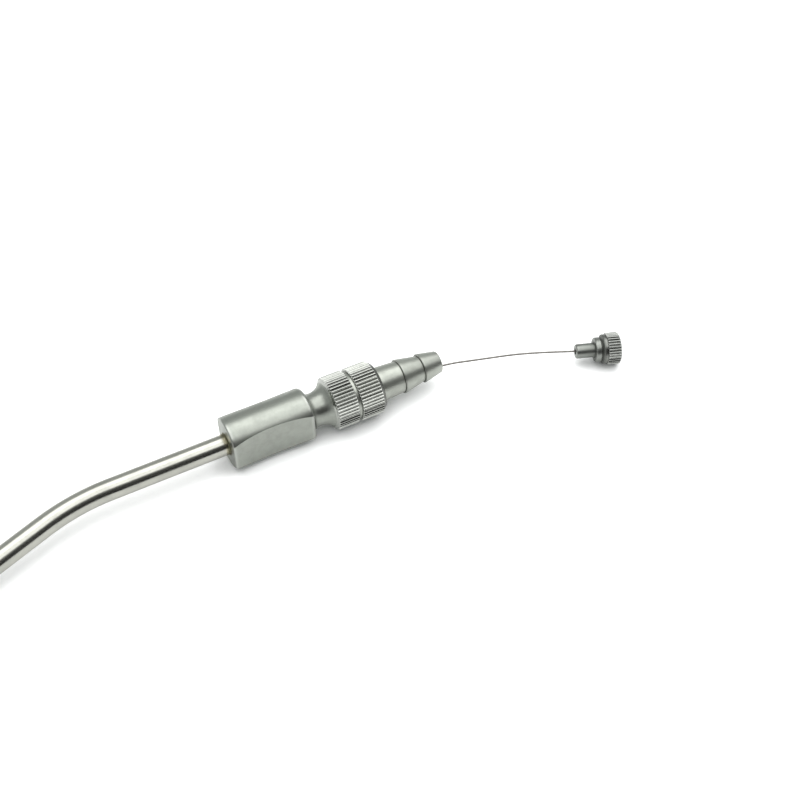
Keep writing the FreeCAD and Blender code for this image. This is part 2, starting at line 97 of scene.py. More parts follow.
class NodeSheet:
    """A node tree with short calls to add nodes and wire them together."""

    def __init__(self, tree: bpy.types.NodeTree) -> None:
        """Takes over a tree.

        Args:
            tree: The node tree to draw in.
        """
        self.tree = tree
        self.column = 0

    def add(self, kind: str, **settings: object) -> bpy.types.Node:
        """Adds a node and sets its properties.

        Args:
            kind: The node's type name.
            settings: Properties of the node.

        Returns:
            The new node.
        """
        node = self.tree.nodes.new(kind)
        node.location = (180.0 * self.column, 0.0)
        self.column += 1
        for name, value in settings.items():
            setattr(node, name, value)
        return node

    def wire(self, source: bpy.types.NodeSocket, target: bpy.types.NodeSocket) -> None:
        """Links an output to an input."""
        self.tree.links.new(source, target)

    def feed(self, socket: bpy.types.NodeSocket, value: object) -> None:
        """Links an output to an input, or sets the input to a plain value.

        Args:
            socket: The input.
            value: An output socket or a plain value.
        """
        if isinstance(value, bpy.types.NodeSocket):
            self.wire(value, socket)
        else:
            socket.default_value = value

    def maths(self, operation: str, *values: object, clamp: bool = False) -> bpy.types.NodeSocket:
        """Adds a Math node.

        Args:
            operation: The name of its operation.
            values: Up to three inputs.
            clamp: Whether the result is kept between 0 and 1.

        Returns:
            The node's output.
        """
        node = self.add("ShaderNodeMath", operation=operation, use_clamp=clamp)
        for socket, value in zip(node.inputs, values):
            self.feed(socket, value)
        return node.outputs[0]

    def vector(self, operation: str, *values: object) -> bpy.types.Node:
        """Adds a Vector Math node.

        Args:
            operation: The name of its operation.
            values: Its vector inputs.

        Returns:
            The node.
        """
        node = self.add("ShaderNodeVectorMath", operation=operation)
        for socket, value in zip(node.inputs, values):
            self.feed(socket, value)
        return node

    def combine(self, x: object, y: object, z: object) -> bpy.types.NodeSocket:
        """Joins three values into a vector.

        Args:
            x: The first value.
            y: The second value.
            z: The third value.

        Returns:
            The vector.
        """
        node = self.add("ShaderNodeCombineXYZ")
        for socket, value in zip(node.inputs, (x, y, z)):
            self.feed(socket, value)
        return node.outputs[0]

    def split(self, value: bpy.types.NodeSocket) -> list[bpy.types.NodeSocket]:
        """Splits a vector into its three values.

        Args:
            value: The vector.

        Returns:
            Its three values.
        """
        node = self.add("ShaderNodeSeparateXYZ")
        self.wire(value, node.inputs[0])
        return list(node.outputs)

    def span(self, value: object, low: float, high: float, first: object,
             last: object) -> bpy.types.NodeSocket:
        """Maps a value from one range to another, smoothly and clamped.

        Args:
            value: The value to map.
            low: Start of its range.
            high: End of its range.
            first: The result at the start.
            last: The result at the end.

        Returns:
            The mapped value.
        """
        node = self.add("ShaderNodeMapRange", interpolation_type="SMOOTHSTEP", clamp=True)
        for index, entry in enumerate((value, low, high, first, last)):
            self.feed(node.inputs[index], entry)
        return node.outputs[0]

    def noise(self, at: object, scale: float, detail: float, rough: float) -> bpy.types.NodeSocket:
        """Adds a noise texture and returns its value.

        Args:
            at: The vector that it reads.
            scale: Cells per unit of that vector.
            detail: Octaves.
            rough: How strong the finer octaves are.

        Returns:
            The noise, about 0.5 on average.
        """
        node = self.add("ShaderNodeTexNoise", noise_dimensions="3D")
        self.feed(node.inputs["Vector"], at)
        node.inputs["Scale"].default_value = scale
        node.inputs["Detail"].default_value = detail
        node.inputs["Roughness"].default_value = rough
        return node.outputs[0]

    def blend(self, share: object, one: object, other: object) -> bpy.types.NodeSocket:
        """Mixes two colours.

        Args:
            share: How much of the other colour.
            one: The first colour.
            other: The other colour.

        Returns:
            The mixed colour.
        """
        node = self.add("ShaderNodeMix", data_type="RGBA", blend_type="MIX")
        # The node keeps a set of sockets for each data type: these are the colours'.
        for index, entry in ((0, share), (6, one), (7, other)):
            self.feed(node.inputs[index], entry)
        return node.outputs[2]

    def ramp(self, share: object, stops: Sequence[tuple[float, Colour]]) -> bpy.types.NodeSocket:
        """Adds a colour ramp.

        Args:
            share: Where on the ramp, from 0 to 1.
            stops: Place and colour of each stop, in order.

        Returns:
            The ramp's colour.
        """
        node = self.add("ShaderNodeValToRGB")
        elements = node.color_ramp.elements
        elements.remove(elements[1])
        for index, (place, colour) in enumerate(stops):
            stop = elements[0] if index == 0 else elements.new(place)
            stop.position, stop.color = place, rgba(colour)
        self.feed(node.inputs[0], share)
        return node.outputs[0]

    def attribute(self, mark: Mark) -> bpy.types.Node:
        """Adds a shader node that reads one of the mesh's own attributes."""
        return self.add("ShaderNodeAttribute", attribute_type="GEOMETRY",
                        attribute_name=mark.value)

    def recall(self, mark: Mark) -> bpy.types.NodeSocket:
        """Reads one of the mesh's own numbers in a Geometry Nodes tree.

        Args:
            mark: Which attribute.

        Returns:
            Its value at each point.
        """
        node = self.add("GeometryNodeInputNamedAttribute", data_type="FLOAT")
        node.inputs["Name"].default_value = mark.value
        return node.outputs[0]

    def store(self, geometry: bpy.types.NodeSocket, mark: Mark, value: bpy.types.NodeSocket,
              kind: str = "FLOAT") -> bpy.types.NodeSocket:
        """Writes an attribute of the points in a Geometry Nodes tree.

        Args:
            geometry: The geometry to write it to.
            mark: Which attribute.
            value: Its value at each point.
            kind: Its data type.

        Returns:
            The geometry with the attribute.
        """
        node = self.add("GeometryNodeStoreNamedAttribute", data_type=kind, domain="POINT")
        node.inputs["Name"].default_value = mark.value
        self.wire(geometry, node.inputs["Geometry"])
        self.wire(value, node.inputs["Value"])
        return node.outputs[0]


def blank_material(name: str) -> tuple[bpy.types.Material, NodeSheet, bpy.types.Node]:
    """Makes a material that holds only its output.

    Args:
        name: Name of the material.

    Returns:
        The material, its node sheet and its output node.
    """
    material = bpy.data.materials.new(name)
    material.use_nodes = True
    material.node_tree.nodes.clear()
    sheet = NodeSheet(material.node_tree)
    return material, sheet, sheet.add("ShaderNodeOutputMaterial")


def put_in_scene(name: str, data: bpy.types.ID) -> bpy.types.Object:
    """Makes an object for a mesh, curve, light or camera and links it to the scene.

    Args:
        name: Name of the object.
        data: What the object shows.

    Returns:
        The object, at the origin.
    """
    thing = bpy.data.objects.new(name, data)
    bpy.context.scene.collection.objects.link(thing)
    return thing


@contextmanager
def edited(mesh: bpy.types.Mesh) -> Iterator[bmesh.types.BMesh]:
    """Opens a mesh for editing and writes it back at the end.

    Args:
        mesh: The mesh to edit.

    Yields:
        The mesh while it is edited.
    """
    work = bmesh.new()
    work.from_mesh(mesh)
    yield work
    work.to_mesh(mesh)
    work.free()


class SharedTree:
    """A node tree with named inputs and outputs, built once and used by its name."""

    name = "tree"
    kind = "ShaderNodeTree"
    inputs: SocketTable = {}
    outputs: dict[str, str] = {}

    def draw(self, sheet: NodeSheet, given: bpy.types.Node, result: bpy.types.Node) -> None:
        """Draws the nodes between the tree's inputs and its outputs."""
        raise NotImplementedError

    def tree(self) -> bpy.types.NodeTree:
        """Finds or builds the tree.

        Returns:
            The node group.
        """
        found = bpy.data.node_groups.get(self.name)
        if found is not None:
            return found
        tree = bpy.data.node_groups.new(self.name, self.kind)
        for name, (kind, value) in self.inputs.items():
            socket = tree.interface.new_socket(name=name, in_out="INPUT", socket_type=kind)
            if value is not None:
                socket.default_value = value
        for name, kind in self.outputs.items():
            tree.interface.new_socket(name=name, in_out="OUTPUT", socket_type=kind)
        sheet = NodeSheet(tree)
        self.draw(sheet, sheet.add("NodeGroupInput"), sheet.add("NodeGroupOutput"))
        return tree


class EffectGroup(SharedTree):
    """A shader node group that several finishes share."""

    def place(self, sheet: NodeSheet, **values: object) -> bpy.types.Node:
        """Places the group in a material.

        Args:
            sheet: The material's node sheet.
            values: Inputs by name, with underscores for spaces.

        Returns:
            The group's node.
        """
        node = sheet.add("ShaderNodeGroup", node_tree=self.tree())
        for name, value in values.items():
            sheet.feed(node.inputs[name.replace("_", " ")], value)
        return node


class LatheMarks(EffectGroup):
    """Fine rings that the cutting tool leaves round the axis."""

    name = "lathe marks"
    inputs = {
        "Place": ("NodeSocketVector", (0.0, 0.0, 0.0)),
        "Pitch": ("NodeSocketFloat", 0.08),
        "Break Up": ("NodeSocketFloat", 0.4),
    }
    outputs = {"Height": "NodeSocketFloat"}
    cells_round = 90.0
    patch_cells = 420.0

    def draw(self, sheet: NodeSheet, given: bpy.types.Node, result: bpy.types.Node) -> None:
        """Draws noise that runs along the axis and hardly changes round it.

        Args:
            sheet: The tree's node sheet.
            given: The tree's inputs.
            result: The tree's outputs.
        """
        x, y, z = sheet.split(given.outputs["Place"])
        along = sheet.maths("DIVIDE", sheet.maths("MULTIPLY", x, PER_METRE),
                            given.outputs["Pitch"])
        stretched = sheet.combine(along, sheet.maths("MULTIPLY", y, self.cells_round),
                                  sheet.maths("MULTIPLY", z, self.cells_round))
        rings = sheet.noise(stretched, 1.0, 3.0, 0.6)
        patches = sheet.noise(given.outputs["Place"], self.patch_cells, 2.0, 0.5)
        faded = sheet.maths("MULTIPLY", sheet.span(patches, 0.35, 0.65, 0.0, 1.0),
                            given.outputs["Break Up"])
        kept = sheet.maths("SUBTRACT", 1.0, faded)
        level = sheet.maths("MULTIPLY", sheet.maths("SUBTRACT", rings, 0.5), kept)
        sheet.wire(sheet.maths("ADD", level, 0.5), result.inputs["Height"])


class SatinMottle(EffectGroup):
    """Soft clouds and fine grain of a blasted and tumbled steel surface."""

    name = "satin mottle"
    inputs = {
        "Place": ("NodeSocketVector", (0.0, 0.0, 0.0)),
        "Cloud Size": ("NodeSocketFloat", 1.4),
        "Grain Size": ("NodeSocketFloat", 0.12),
    }
    outputs = {"Cloud": "NodeSocketFloat", "Grain": "NodeSocketFloat"}

    def draw(self, sheet: NodeSheet, given: bpy.types.Node, result: bpy.types.Node) -> None:
        """Draws two noises at the sizes of the clouds and of the grain.

        Args:
            sheet: The tree's node sheet.
            given: The tree's inputs.
            result: The tree's outputs.
        """
        for name in ("Cloud", "Grain"):
            cells = sheet.maths("DIVIDE", PER_METRE, given.outputs[name + " Size"])
            scaled = sheet.vector("SCALE", given.outputs["Place"])
            sheet.wire(cells, scaled.inputs["Scale"])
            sheet.wire(sheet.noise(scaled.outputs[0], 1.0, 4.0, 0.62), result.inputs[name])


class DrawnScratches(EffectGroup):
    """Hair-fine polishing lines along a drawn tube or wire."""

    name = "drawn scratches"
    inputs = {
        "Run": ("NodeSocketFloat", 0.0),
        "Section": ("NodeSocketVector", (0.0, 0.0, 0.0)),
        "Length": ("NodeSocketFloat", 9.0),
        "Width": ("NodeSocketFloat", 0.07),
    }
    outputs = {"Height": "NodeSocketFloat"}

    def draw(self, sheet: NodeSheet, given: bpy.types.Node, result: bpy.types.Node) -> None:
        """Draws noise that is long beside the run and narrow round the section.

        Args:
            sheet: The tree's node sheet.
            given: The tree's inputs.
            result: The tree's outputs.
        """
        _, y, z = sheet.split(given.outputs["Section"])
        cells = []
        for value, size in ((given.outputs["Run"], "Length"), (y, "Width"), (z, "Width")):
            scaled = sheet.maths("MULTIPLY", value, PER_METRE)
            cells.append(sheet.maths("DIVIDE", scaled, given.outputs[size]))
        sheet.wire(sheet.noise(sheet.combine(*cells), 1.0, 3.0, 0.55), result.inputs["Height"])


class EdgePolish(EffectGroup):
    """Brighter, smoother metal where edges and crests are rubbed, and painted shade, a darker and
    rougher colour, in grooves, steps, holes and corners.
    """

    name = "edge polish"
    inputs = {
        "Colour": ("NodeSocketColor", (0.6, 0.6, 0.6, 1.0)),
        "Roughness": ("NodeSocketFloat", 0.3),
        "Edge": ("NodeSocketFloat", 0.0),
        "Groove": ("NodeSocketFloat", 0.0),
        "Band": ("NodeSocketFloat", 0.0),
        "Patches": ("NodeSocketFloat", 0.5),
    }
    outputs = {"Colour": "NodeSocketColor", "Roughness": "NodeSocketFloat"}

    rubbed_colour: Colour = (0.80, 0.80, 0.78)
    # Colour of the painted shade.
    painted_shade_colour: Colour = (0.05, 0.05, 0.045)
    rubbed_shine = 0.12
    rolled_shine = 0.22
    painted_shade_cover = 0.92
    rubbed_change = -0.08
    rolled_change = -0.22
    painted_shade_roughness = 0.14

    def draw(self, sheet: NodeSheet, given: bpy.types.Node, result: bpy.types.Node) -> None:
        """Draws the masks and lets them change colour and roughness.

        Args:
            sheet: The tree's node sheet.
            given: The tree's inputs.
            result: The tree's outputs.
        """
        patches, band = given.outputs["Patches"], given.outputs["Band"]
        rubbed = sheet.maths("MULTIPLY", given.outputs["Edge"],
                             sheet.span(patches, 0.3, 0.6, 0.35, 1.0))
        # Painted shade: the marked grooves, steps, holes and corners get a darker, rougher colour.
        painted_shade_and_flux = sheet.maths("MULTIPLY", given.outputs["Groove"],
                             sheet.span(patches, 0.35, 0.7, 0.75, 1.0))
        shine = sheet.maths("MULTIPLY_ADD", band, self.rolled_shine,
                            sheet.maths("MULTIPLY", rubbed, self.rubbed_shine))
        bright = sheet.blend(shine, given.outputs["Colour"], rgba(self.rubbed_colour))
        dark = sheet.blend(sheet.maths("MULTIPLY", painted_shade_and_flux, self.painted_shade_cover), bright,
                           rgba(self.painted_shade_colour))
        sheet.wire(dark, result.inputs["Colour"])
        level = given.outputs["Roughness"]
        for mask, change in ((rubbed, self.rubbed_change), (band, self.rolled_change),
                             (painted_shade_and_flux, self.painted_shade_roughness)):
            level = sheet.maths("MULTIPLY_ADD", mask, change, level)
        sheet.wire(sheet.maths("ADD", level, 0.0, clamp=True), result.inputs["Roughness"])


class HeatTint(EffectGroup):
    """The dark, straw and pale bands that brazing leaves on steel."""

    name = "heat tint"
    inputs = {
        "Colour": ("NodeSocketColor", (0.6, 0.6, 0.6, 1.0)),
        "Distance": ("NodeSocketFloat", 0.0),
        "Patches": ("NodeSocketFloat", 0.5),
        "Reach": ("NodeSocketFloat", 2.2),
        "Strength": ("NodeSocketFloat", 0.7),
    }
    outputs = {"Colour": "NodeSocketColor"}

    wander = 1.6
    bands: tuple[tuple[float, Colour], ...] = (
        (0.0, (0.20, 0.19, 0.15)), (0.30, (0.40, 0.34, 0.17)),
        (0.62, (0.66, 0.56, 0.34)), (1.0, (0.74, 0.71, 0.63)))

    def draw(self, sheet: NodeSheet, given: bpy.types.Node, result: bpy.types.Node) -> None:
        """Draws the bands by distance, in millimetres, from the joint.

        Args:
            sheet: The tree's node sheet.
            given: The tree's inputs.
            result: The tree's outputs.
        """
        uneven = sheet.maths("MULTIPLY", sheet.maths("SUBTRACT", given.outputs["Patches"], 0.5),
                             self.wander)
        distance = sheet.maths("ADD", given.outputs["Distance"], uneven)
        share = sheet.maths("DIVIDE", distance, given.outputs["Reach"], clamp=True)
        left = sheet.maths("MULTIPLY", sheet.span(share, 0.35, 1.0, 1.0, 0.0),
                           given.outputs["Strength"])
        sheet.wire(sheet.blend(left, given.outputs["Colour"], sheet.ramp(share, self.bands)),
                   result.inputs["Colour"])


@dataclass(frozen=True)
class Finish:
    """What every metal finish has: a slot, a colour and a mean roughness."""

    slot: Slot
    colour: Colour
    roughness: float

    def start(self) -> tuple[bpy.types.Material, NodeSheet, bpy.types.Node]:
        """Makes the material with its metal shader.

        Returns:
            The material, its node sheet and its shader node.
        """
        material, sheet, output = blank_material(self.slot.value)
        metal = sheet.add("ShaderNodeBsdfPrincipled")
        metal.inputs["Metallic"].default_value = 1.0
        sheet.wire(metal.outputs[0], output.inputs[0])
        return material, sheet, metal

    def raise_grain(self, sheet: NodeSheet, metal: bpy.types.Node, height: bpy.types.NodeSocket,
                    depth: float) -> None:
        """Bends the surface's normal by a height.

        Args:
            sheet: The material's node sheet.
            metal: The shader node.
            height: The height from 0 to 1.
            depth: What a height of 1 is, in millimetres.
        """
        bump = sheet.add("ShaderNodeBump")
        bump.inputs["Strength"].default_value = 1.0
        bump.inputs["Distance"].default_value = depth * MM
        sheet.wire(height, bump.inputs["Height"])
        sheet.wire(bump.outputs[0], metal.inputs["Normal"])


@dataclass(frozen=True)
class TurnedFinish(Finish):
    """Turned steel: lathe rings, satin clouds, rubbed edges, and painted shade in grooves, steps
    and corners.
    """

    ring_pitch: float = 0.08
    ring_depth: float = 0.0012
    cloud_size: float = 1.4
    cloud_strength: float = 0.12
    grain_size: float = 0.12
    grain_depth: float = 0.0015
    tone_change: float = 0.10

    def material(self) -> bpy.types.Material:
        """Builds the material.

        Returns:
            The finished material.
        """
        material, sheet, metal = self.start()
        place = sheet.add("ShaderNodeTexCoord").outputs["Object"]
        mottle = SatinMottle().place(sheet, Place=place, Cloud_Size=self.cloud_size,
                                     Grain_Size=self.grain_size)
        rings = LatheMarks().place(sheet, Place=place, Pitch=self.ring_pitch)
        cloud = mottle.outputs["Cloud"]
        offset = sheet.maths("MULTIPLY", sheet.maths("SUBTRACT", cloud, 0.5),
                             2.0 * self.cloud_strength)
        rough = sheet.maths("ADD", offset, self.roughness)
        deeper = tuple(channel * (1.0 - self.tone_change) for channel in self.colour)
        tone = sheet.blend(sheet.span(cloud, 0.3, 0.7, 0.0, 1.0), rgba(self.colour),
                           rgba(deeper))
        polish = EdgePolish().place(
            sheet, Colour=tone, Roughness=rough, Edge=sheet.attribute(Mark.EDGE).outputs["Fac"],
            Groove=sheet.attribute(Mark.PAINTED_SHADE).outputs["Fac"],
            Band=sheet.attribute(Mark.BAND).outputs["Fac"], Patches=cloud)
        sheet.wire(polish.outputs["Colour"], metal.inputs["Base Color"])
        sheet.wire(polish.outputs["Roughness"], metal.inputs["Roughness"])
        ring_share = self.ring_depth / (self.ring_depth + self.grain_depth)
        height = sheet.maths("ADD", sheet.maths("MULTIPLY", rings.outputs["Height"], ring_share),
                             sheet.maths("MULTIPLY", mottle.outputs["Grain"], 1.0 - ring_share))
        self.raise_grain(sheet, metal, height, self.ring_depth + self.grain_depth)
        return material


@dataclass(frozen=True)
class DrawnFinish(Finish):
    """Drawn steel: polishing lines along the run and a heat tint beside a braze."""

    scratch_depth: float = 0.0008
    scratch_length: float = 9.0
    streak_strength: float = 0.16
    cloud_size: float = 3.0
    cloud_strength: float = 0.12
    tone_change: float = 0.10
    tint_from: float | None = None
    tint_reach: float = 2.2
    tint_strength: float = 0.7

    def material(self) -> bpy.types.Material:
        """Builds the material.

        Returns:
            The finished material.
        """
        material, sheet, metal = self.start()
        place = sheet.add("ShaderNodeTexCoord").outputs["Object"]
        run = sheet.attribute(Mark.RUN).outputs["Fac"]
        section = sheet.attribute(Mark.SECTION).outputs["Vector"]
        scratches = DrawnScratches().place(sheet, Run=run, Section=section,
                                           Length=self.scratch_length)
        mottle = SatinMottle().place(sheet, Place=place, Cloud_Size=self.cloud_size)
        cloud = mottle.outputs["Cloud"]
        streak = sheet.maths("MULTIPLY",
                             sheet.maths("SUBTRACT", scratches.outputs["Height"], 0.5),
                             self.streak_strength)
        soft = sheet.maths("MULTIPLY", sheet.maths("SUBTRACT", cloud, 0.5), self.cloud_strength)
        rough = sheet.maths("ADD", sheet.maths("ADD", streak, soft), self.roughness, clamp=True)
        sheet.wire(rough, metal.inputs["Roughness"])
        darker = tuple(channel * (1.0 - self.tone_change) for channel in self.colour)
        tone = sheet.blend(sheet.span(cloud, 0.35, 0.65, 0.0, 1.0), rgba(self.colour),
                           rgba(darker))
        if self.tint_from is not None:
            x = sheet.split(place)[0]
            away = sheet.maths("SUBTRACT", self.tint_from,
                               sheet.maths("MULTIPLY", x, PER_METRE))
            tint = HeatTint().place(sheet, Colour=tone, Distance=away,
                                    Patches=mottle.outputs["Grain"], Reach=self.tint_reach,
                                    Strength=self.tint_strength)
            tone = tint.outputs["Colour"]
        sheet.wire(tone, metal.inputs["Base Color"])
        self.raise_grain(sheet, metal, scratches.outputs["Height"], self.scratch_depth)
        return material


@dataclass(frozen=True)
class BrazeFinish(Finish):
    """Silver braze: lumpy, yellowish, and dark with flux in the corner."""

    flux_colour: Colour = (0.10, 0.09, 0.06)
    flux_roughness: float = 0.2
    cloud_size: float = 0.7
    lump_size: float = 0.2
    lump_depth: float = 0.03

    def material(self) -> bpy.types.Material:
        """Builds the material.

        Returns:
            The finished material.
        """
        material, sheet, metal = self.start()
        place = sheet.add("ShaderNodeTexCoord").outputs["Object"]
        mottle = SatinMottle().place(sheet, Place=place, Cloud_Size=self.cloud_size,
                                     Grain_Size=self.lump_size)
        painted_shade_and_flux = sheet.span(mottle.outputs["Cloud"], 0.38, 0.62, 0.25, 0.95)
        sheet.wire(sheet.blend(painted_shade_and_flux, rgba(self.colour), rgba(self.flux_colour)),
                   metal.inputs["Base Color"])
        rough = sheet.span(mottle.outputs["Cloud"], 0.35, 0.65, self.roughness,
                           self.roughness + self.flux_roughness)
        sheet.wire(rough, metal.inputs["Roughness"])
        self.raise_grain(sheet, metal, mottle.outputs["Grain"], self.lump_depth)
        return material


@dataclass(frozen=True)
class Corner:
    """One corner of a turned outline, with the radius of its round and how much painted shade it
    carries.
    """

    x: float
    radius: float
    rounding: float = 0.0
    painted_shade: float = 0.0


@dataclass
class Rings:
    """Rings of points, one after another, that a skin is stretched over."""

    points: list[np.ndarray] = field(default_factory=list)
    marks: dict[Mark, list[float]] = field(
        default_factory=lambda: {Mark.BAND: [], Mark.EDGE: [], Mark.PAINTED_SHADE: []})

    def add(self, ring: np.ndarray, band: float = 0.0, edge: float = 0.0,
            painted_shade: float = 0.0) -> None:
        """Adds a ring.

        Args:
            ring: Its points, in millimetres.
            band: 1 where the knurling tool reaches it.
            edge: 1 where it lies on a rubbed edge.
            painted_shade: How much painted shade it carries, from 0 to 1.
        """
        self.points.append(ring)
        for mark, value in ((Mark.BAND, band), (Mark.EDGE, edge), (Mark.PAINTED_SHADE, painted_shade)):
            self.marks[mark].append(value)

    def skin(self, name: str, closed: bool) -> bpy.types.Object:
        """Stretches a skin over the rings.

        Args:
            name: Name of the object.
            closed: Whether the last ring joins the first. If not, both get a fan to a pole.

        Returns:
            The object, at the origin.
        """
        count = len(self.points)
        sides = len(self.points[0])
        vertices = np.concatenate(self.points) * MM
        around = np.arange(sides)
        faces = []
        for first in range(count if closed else count - 1):
            low, high = first * sides, (first + 1) % count * sides
            following = (around + 1) % sides
            quads = np.stack([low + around, low + following, high + following, high + around], 1)
            faces.extend(quads.tolist())
        if not closed:
            poles = [self.points[0].mean(axis=0), self.points[-1].mean(axis=0)]
            vertices = np.concatenate([vertices, np.array(poles) * MM])
            for pole, start in ((count * sides, 0), (count * sides + 1, (count - 1) * sides)):
                for side in range(sides):
                    faces.append([start + side, start + (side + 1) % sides, pole])
        mesh = bpy.data.meshes.new(name)
        mesh.from_pydata(vertices.tolist(), [], faces)
        for mark, values in self.marks.items():
            spread = np.repeat(np.array(values, dtype=np.float32), sides)
            spread = np.concatenate([spread, np.zeros(len(vertices) - len(spread), np.float32)])
            mesh.attributes.new(mark.value, "FLOAT", "POINT").data.foreach_set("value", spread)
        return finish_mesh(mesh, name)


def finish_mesh(mesh: bpy.types.Mesh, name: str) -> bpy.types.Object:
    """Merges doubles, points the faces outwards and puts the mesh in the scene.

    Args:
        mesh: The mesh to finish.
        name: Name of the object.

    Returns:
        The object that shows it.
    """
    with edited(mesh) as work:
        bmesh.ops.remove_doubles(work, verts=work.verts, dist=MERGE_DISTANCE)
        bmesh.ops.recalc_face_normals(work, faces=work.faces)
    shade_mesh(mesh)
    return put_in_scene(name, mesh)


def shade_mesh(mesh: bpy.types.Mesh, sharp_from: float = 38.0) -> None:
    """Shades a mesh smooth, apart from edges sharper than an angle in degrees."""
    mesh.polygons.foreach_set("use_smooth", [True] * len(mesh.polygons))
    mesh.set_sharp_from_angle(angle=math.radians(sharp_from))


def circle_ring(x: float, radius: float, sides: int) -> np.ndarray:
    """Points of a circle about the X axis, from the top and on towards +Y.

    Args:
        x: Its place along the axis.
        radius: Its radius.
        sides: How many points.

    Returns:
        The points, one per row.
    """
    angles = np.arange(sides) * FULL_TURN / sides
    return np.stack([np.full(sides, x), radius * np.sin(angles), radius * np.cos(angles)], 1)


def soften(corners: list[Corner], closed: bool,
           steps: int = 6) -> list[tuple[float, float, float, float]]:
    """Rounds the corners of an outline.

    Args:
        corners: The outline's corners.
        closed: Whether it is a loop.
        steps: Segments in each round.

    Returns:
        Points as place, radius, 1 on a round or 0 elsewhere, and painted shade.
    """
    result = []
    for index, corner in enumerate(corners):
        here = np.array([corner.x, corner.radius])
        at_end = not closed and index in (0, len(corners) - 1)
        if corner.rounding <= 0.0 or at_end:
            result.append((corner.x, corner.radius, 0.0, corner.painted_shade))
            continue
        before = corners[index - 1]
        after = corners[(index + 1) % len(corners)]
        back = np.array([before.x, before.radius]) - here
        ahead = np.array([after.x, after.radius]) - here
        room = 0.48 * min(np.linalg.norm(back), np.linalg.norm(ahead))
        back, ahead = back / np.linalg.norm(back), ahead / np.linalg.norm(ahead)
        half = math.acos(float(np.clip(back @ ahead, -1.0, 1.0))) / 2.0
        setback = min(corner.rounding / math.tan(half), room)
        radius = setback * math.tan(half)
        middle = (back + ahead) / np.linalg.norm(back + ahead)
        centre = here + middle * radius / math.sin(half)
        first, last = here + back * setback - centre, here + ahead * setback - centre
        turn = math.atan2(first[0] * last[1] - first[1] * last[0], float(first @ last))
        for step in range(steps + 1):
            angle = turn * step / steps
            cosine, sine = math.cos(angle), math.sin(angle)
            spoke = np.array([first[0] * cosine - first[1] * sine,
                              first[0] * sine + first[1] * cosine])
            result.append((*(centre + spoke), 1.0, corner.painted_shade))
    return result


def arc_points(start: float, foot: float, radius: float, rise: float, steps: int) -> Outline:
    """Points of a cove that leaves its foot level and climbs by a rise.

    Args:
        start: Where it leaves the foot.
        foot: Radius of the foot.
        radius: The cove's own radius.
        rise: How far it climbs.
        steps: How many segments.

    Returns:
        The points after the first, as place and radius.
    """
    sweep = math.acos((radius - rise) / radius)
    return [(start + radius * math.sin(sweep * step / steps),
             foot + radius * (1.0 - math.cos(sweep * step / steps)))
            for step in range(1, steps + 1)]


def plain_mesh(thing: bpy.types.Object, name: str) -> bpy.types.Object:
    """Turns an object's modifiers into a plain mesh.

    Args:
        thing: The object, which is removed.
        name: Name of the result.

    Returns:
        A new object with the evaluated mesh and no modifiers.
    """
    graph = bpy.context.evaluated_depsgraph_get()
    mesh = bpy.data.meshes.new_from_object(thing.evaluated_get(graph))
    mesh.name = name
    bpy.data.objects.remove(thing)
    return put_in_scene(name, mesh)


def dress(thing: bpy.types.Object, material: bpy.types.Material, node: str) -> None:
    """Gives a piece its material, hangs it on the root body and hides the CAD node that it stands
    for.

    Args:
        thing: The finished piece.
        material: Its material.
        node: The CAD node that it replaces.
    """
    thing.data.materials.clear()
    thing.data.materials.append(material)
    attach(thing, "root")
    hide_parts(node)
    log.info("%s: %d faces", thing.name, len(thing.data.polygons))


class ShapeTree(SharedTree):
    """A Geometry Nodes tree with named sizes, applied to one object at a time."""

    kind = "GeometryNodeTree"
    sizes: SocketTable = {}
    outputs = {"Geometry": "NodeSocketGeometry"}

    @property
    def inputs(self) -> SocketTable:
        """The geometry, the sizes and the material."""
        return {"Geometry": ("NodeSocketGeometry", None), **self.sizes,
                "Material": ("NodeSocketMaterial", None)}

    def shape(self, sheet: NodeSheet, given: bpy.types.Node) -> bpy.types.NodeSocket:
        """Draws the shaping nodes and returns their geometry."""
        raise NotImplementedError

    def draw(self, sheet: NodeSheet, given: bpy.types.Node, result: bpy.types.Node) -> None:
        """Shapes the geometry, realizes its instances and sets its material.

        Args:
            sheet: The tree's node sheet.
            given: The tree's inputs.
            result: The tree's outputs.
        """
        realized = sheet.add("GeometryNodeRealizeInstances")
        sheet.wire(self.shape(sheet, given), realized.inputs[0])
        coated = sheet.add("GeometryNodeSetMaterial")
        sheet.wire(realized.outputs[0], coated.inputs["Geometry"])
        sheet.wire(given.outputs["Material"], coated.inputs["Material"])
        sheet.wire(coated.outputs[0], result.inputs[0])

    def apply(self, thing: bpy.types.Object, material: bpy.types.Material,
              **values: object) -> bpy.types.Object:
        """Runs the tree on an object and returns the result as a plain mesh.

        Args:
            thing: The object to shape.
            material: The material that the tree sets.
            values: Inputs by name, with underscores for spaces.

        Returns:
            The shaped object.
        """
        tree = self.tree()
        modifier = thing.modifiers.new(self.name, "NODES")
        modifier.node_group = tree
        identifiers = {item.name: item.identifier for item in tree.interface.items_tree
                       if item.in_out == "INPUT"}
        modifier[identifiers["Material"]] = material
        for name, value in values.items():
            modifier[identifiers[name.replace("_", " ")]] = value
        return plain_mesh(thing, thing.name)


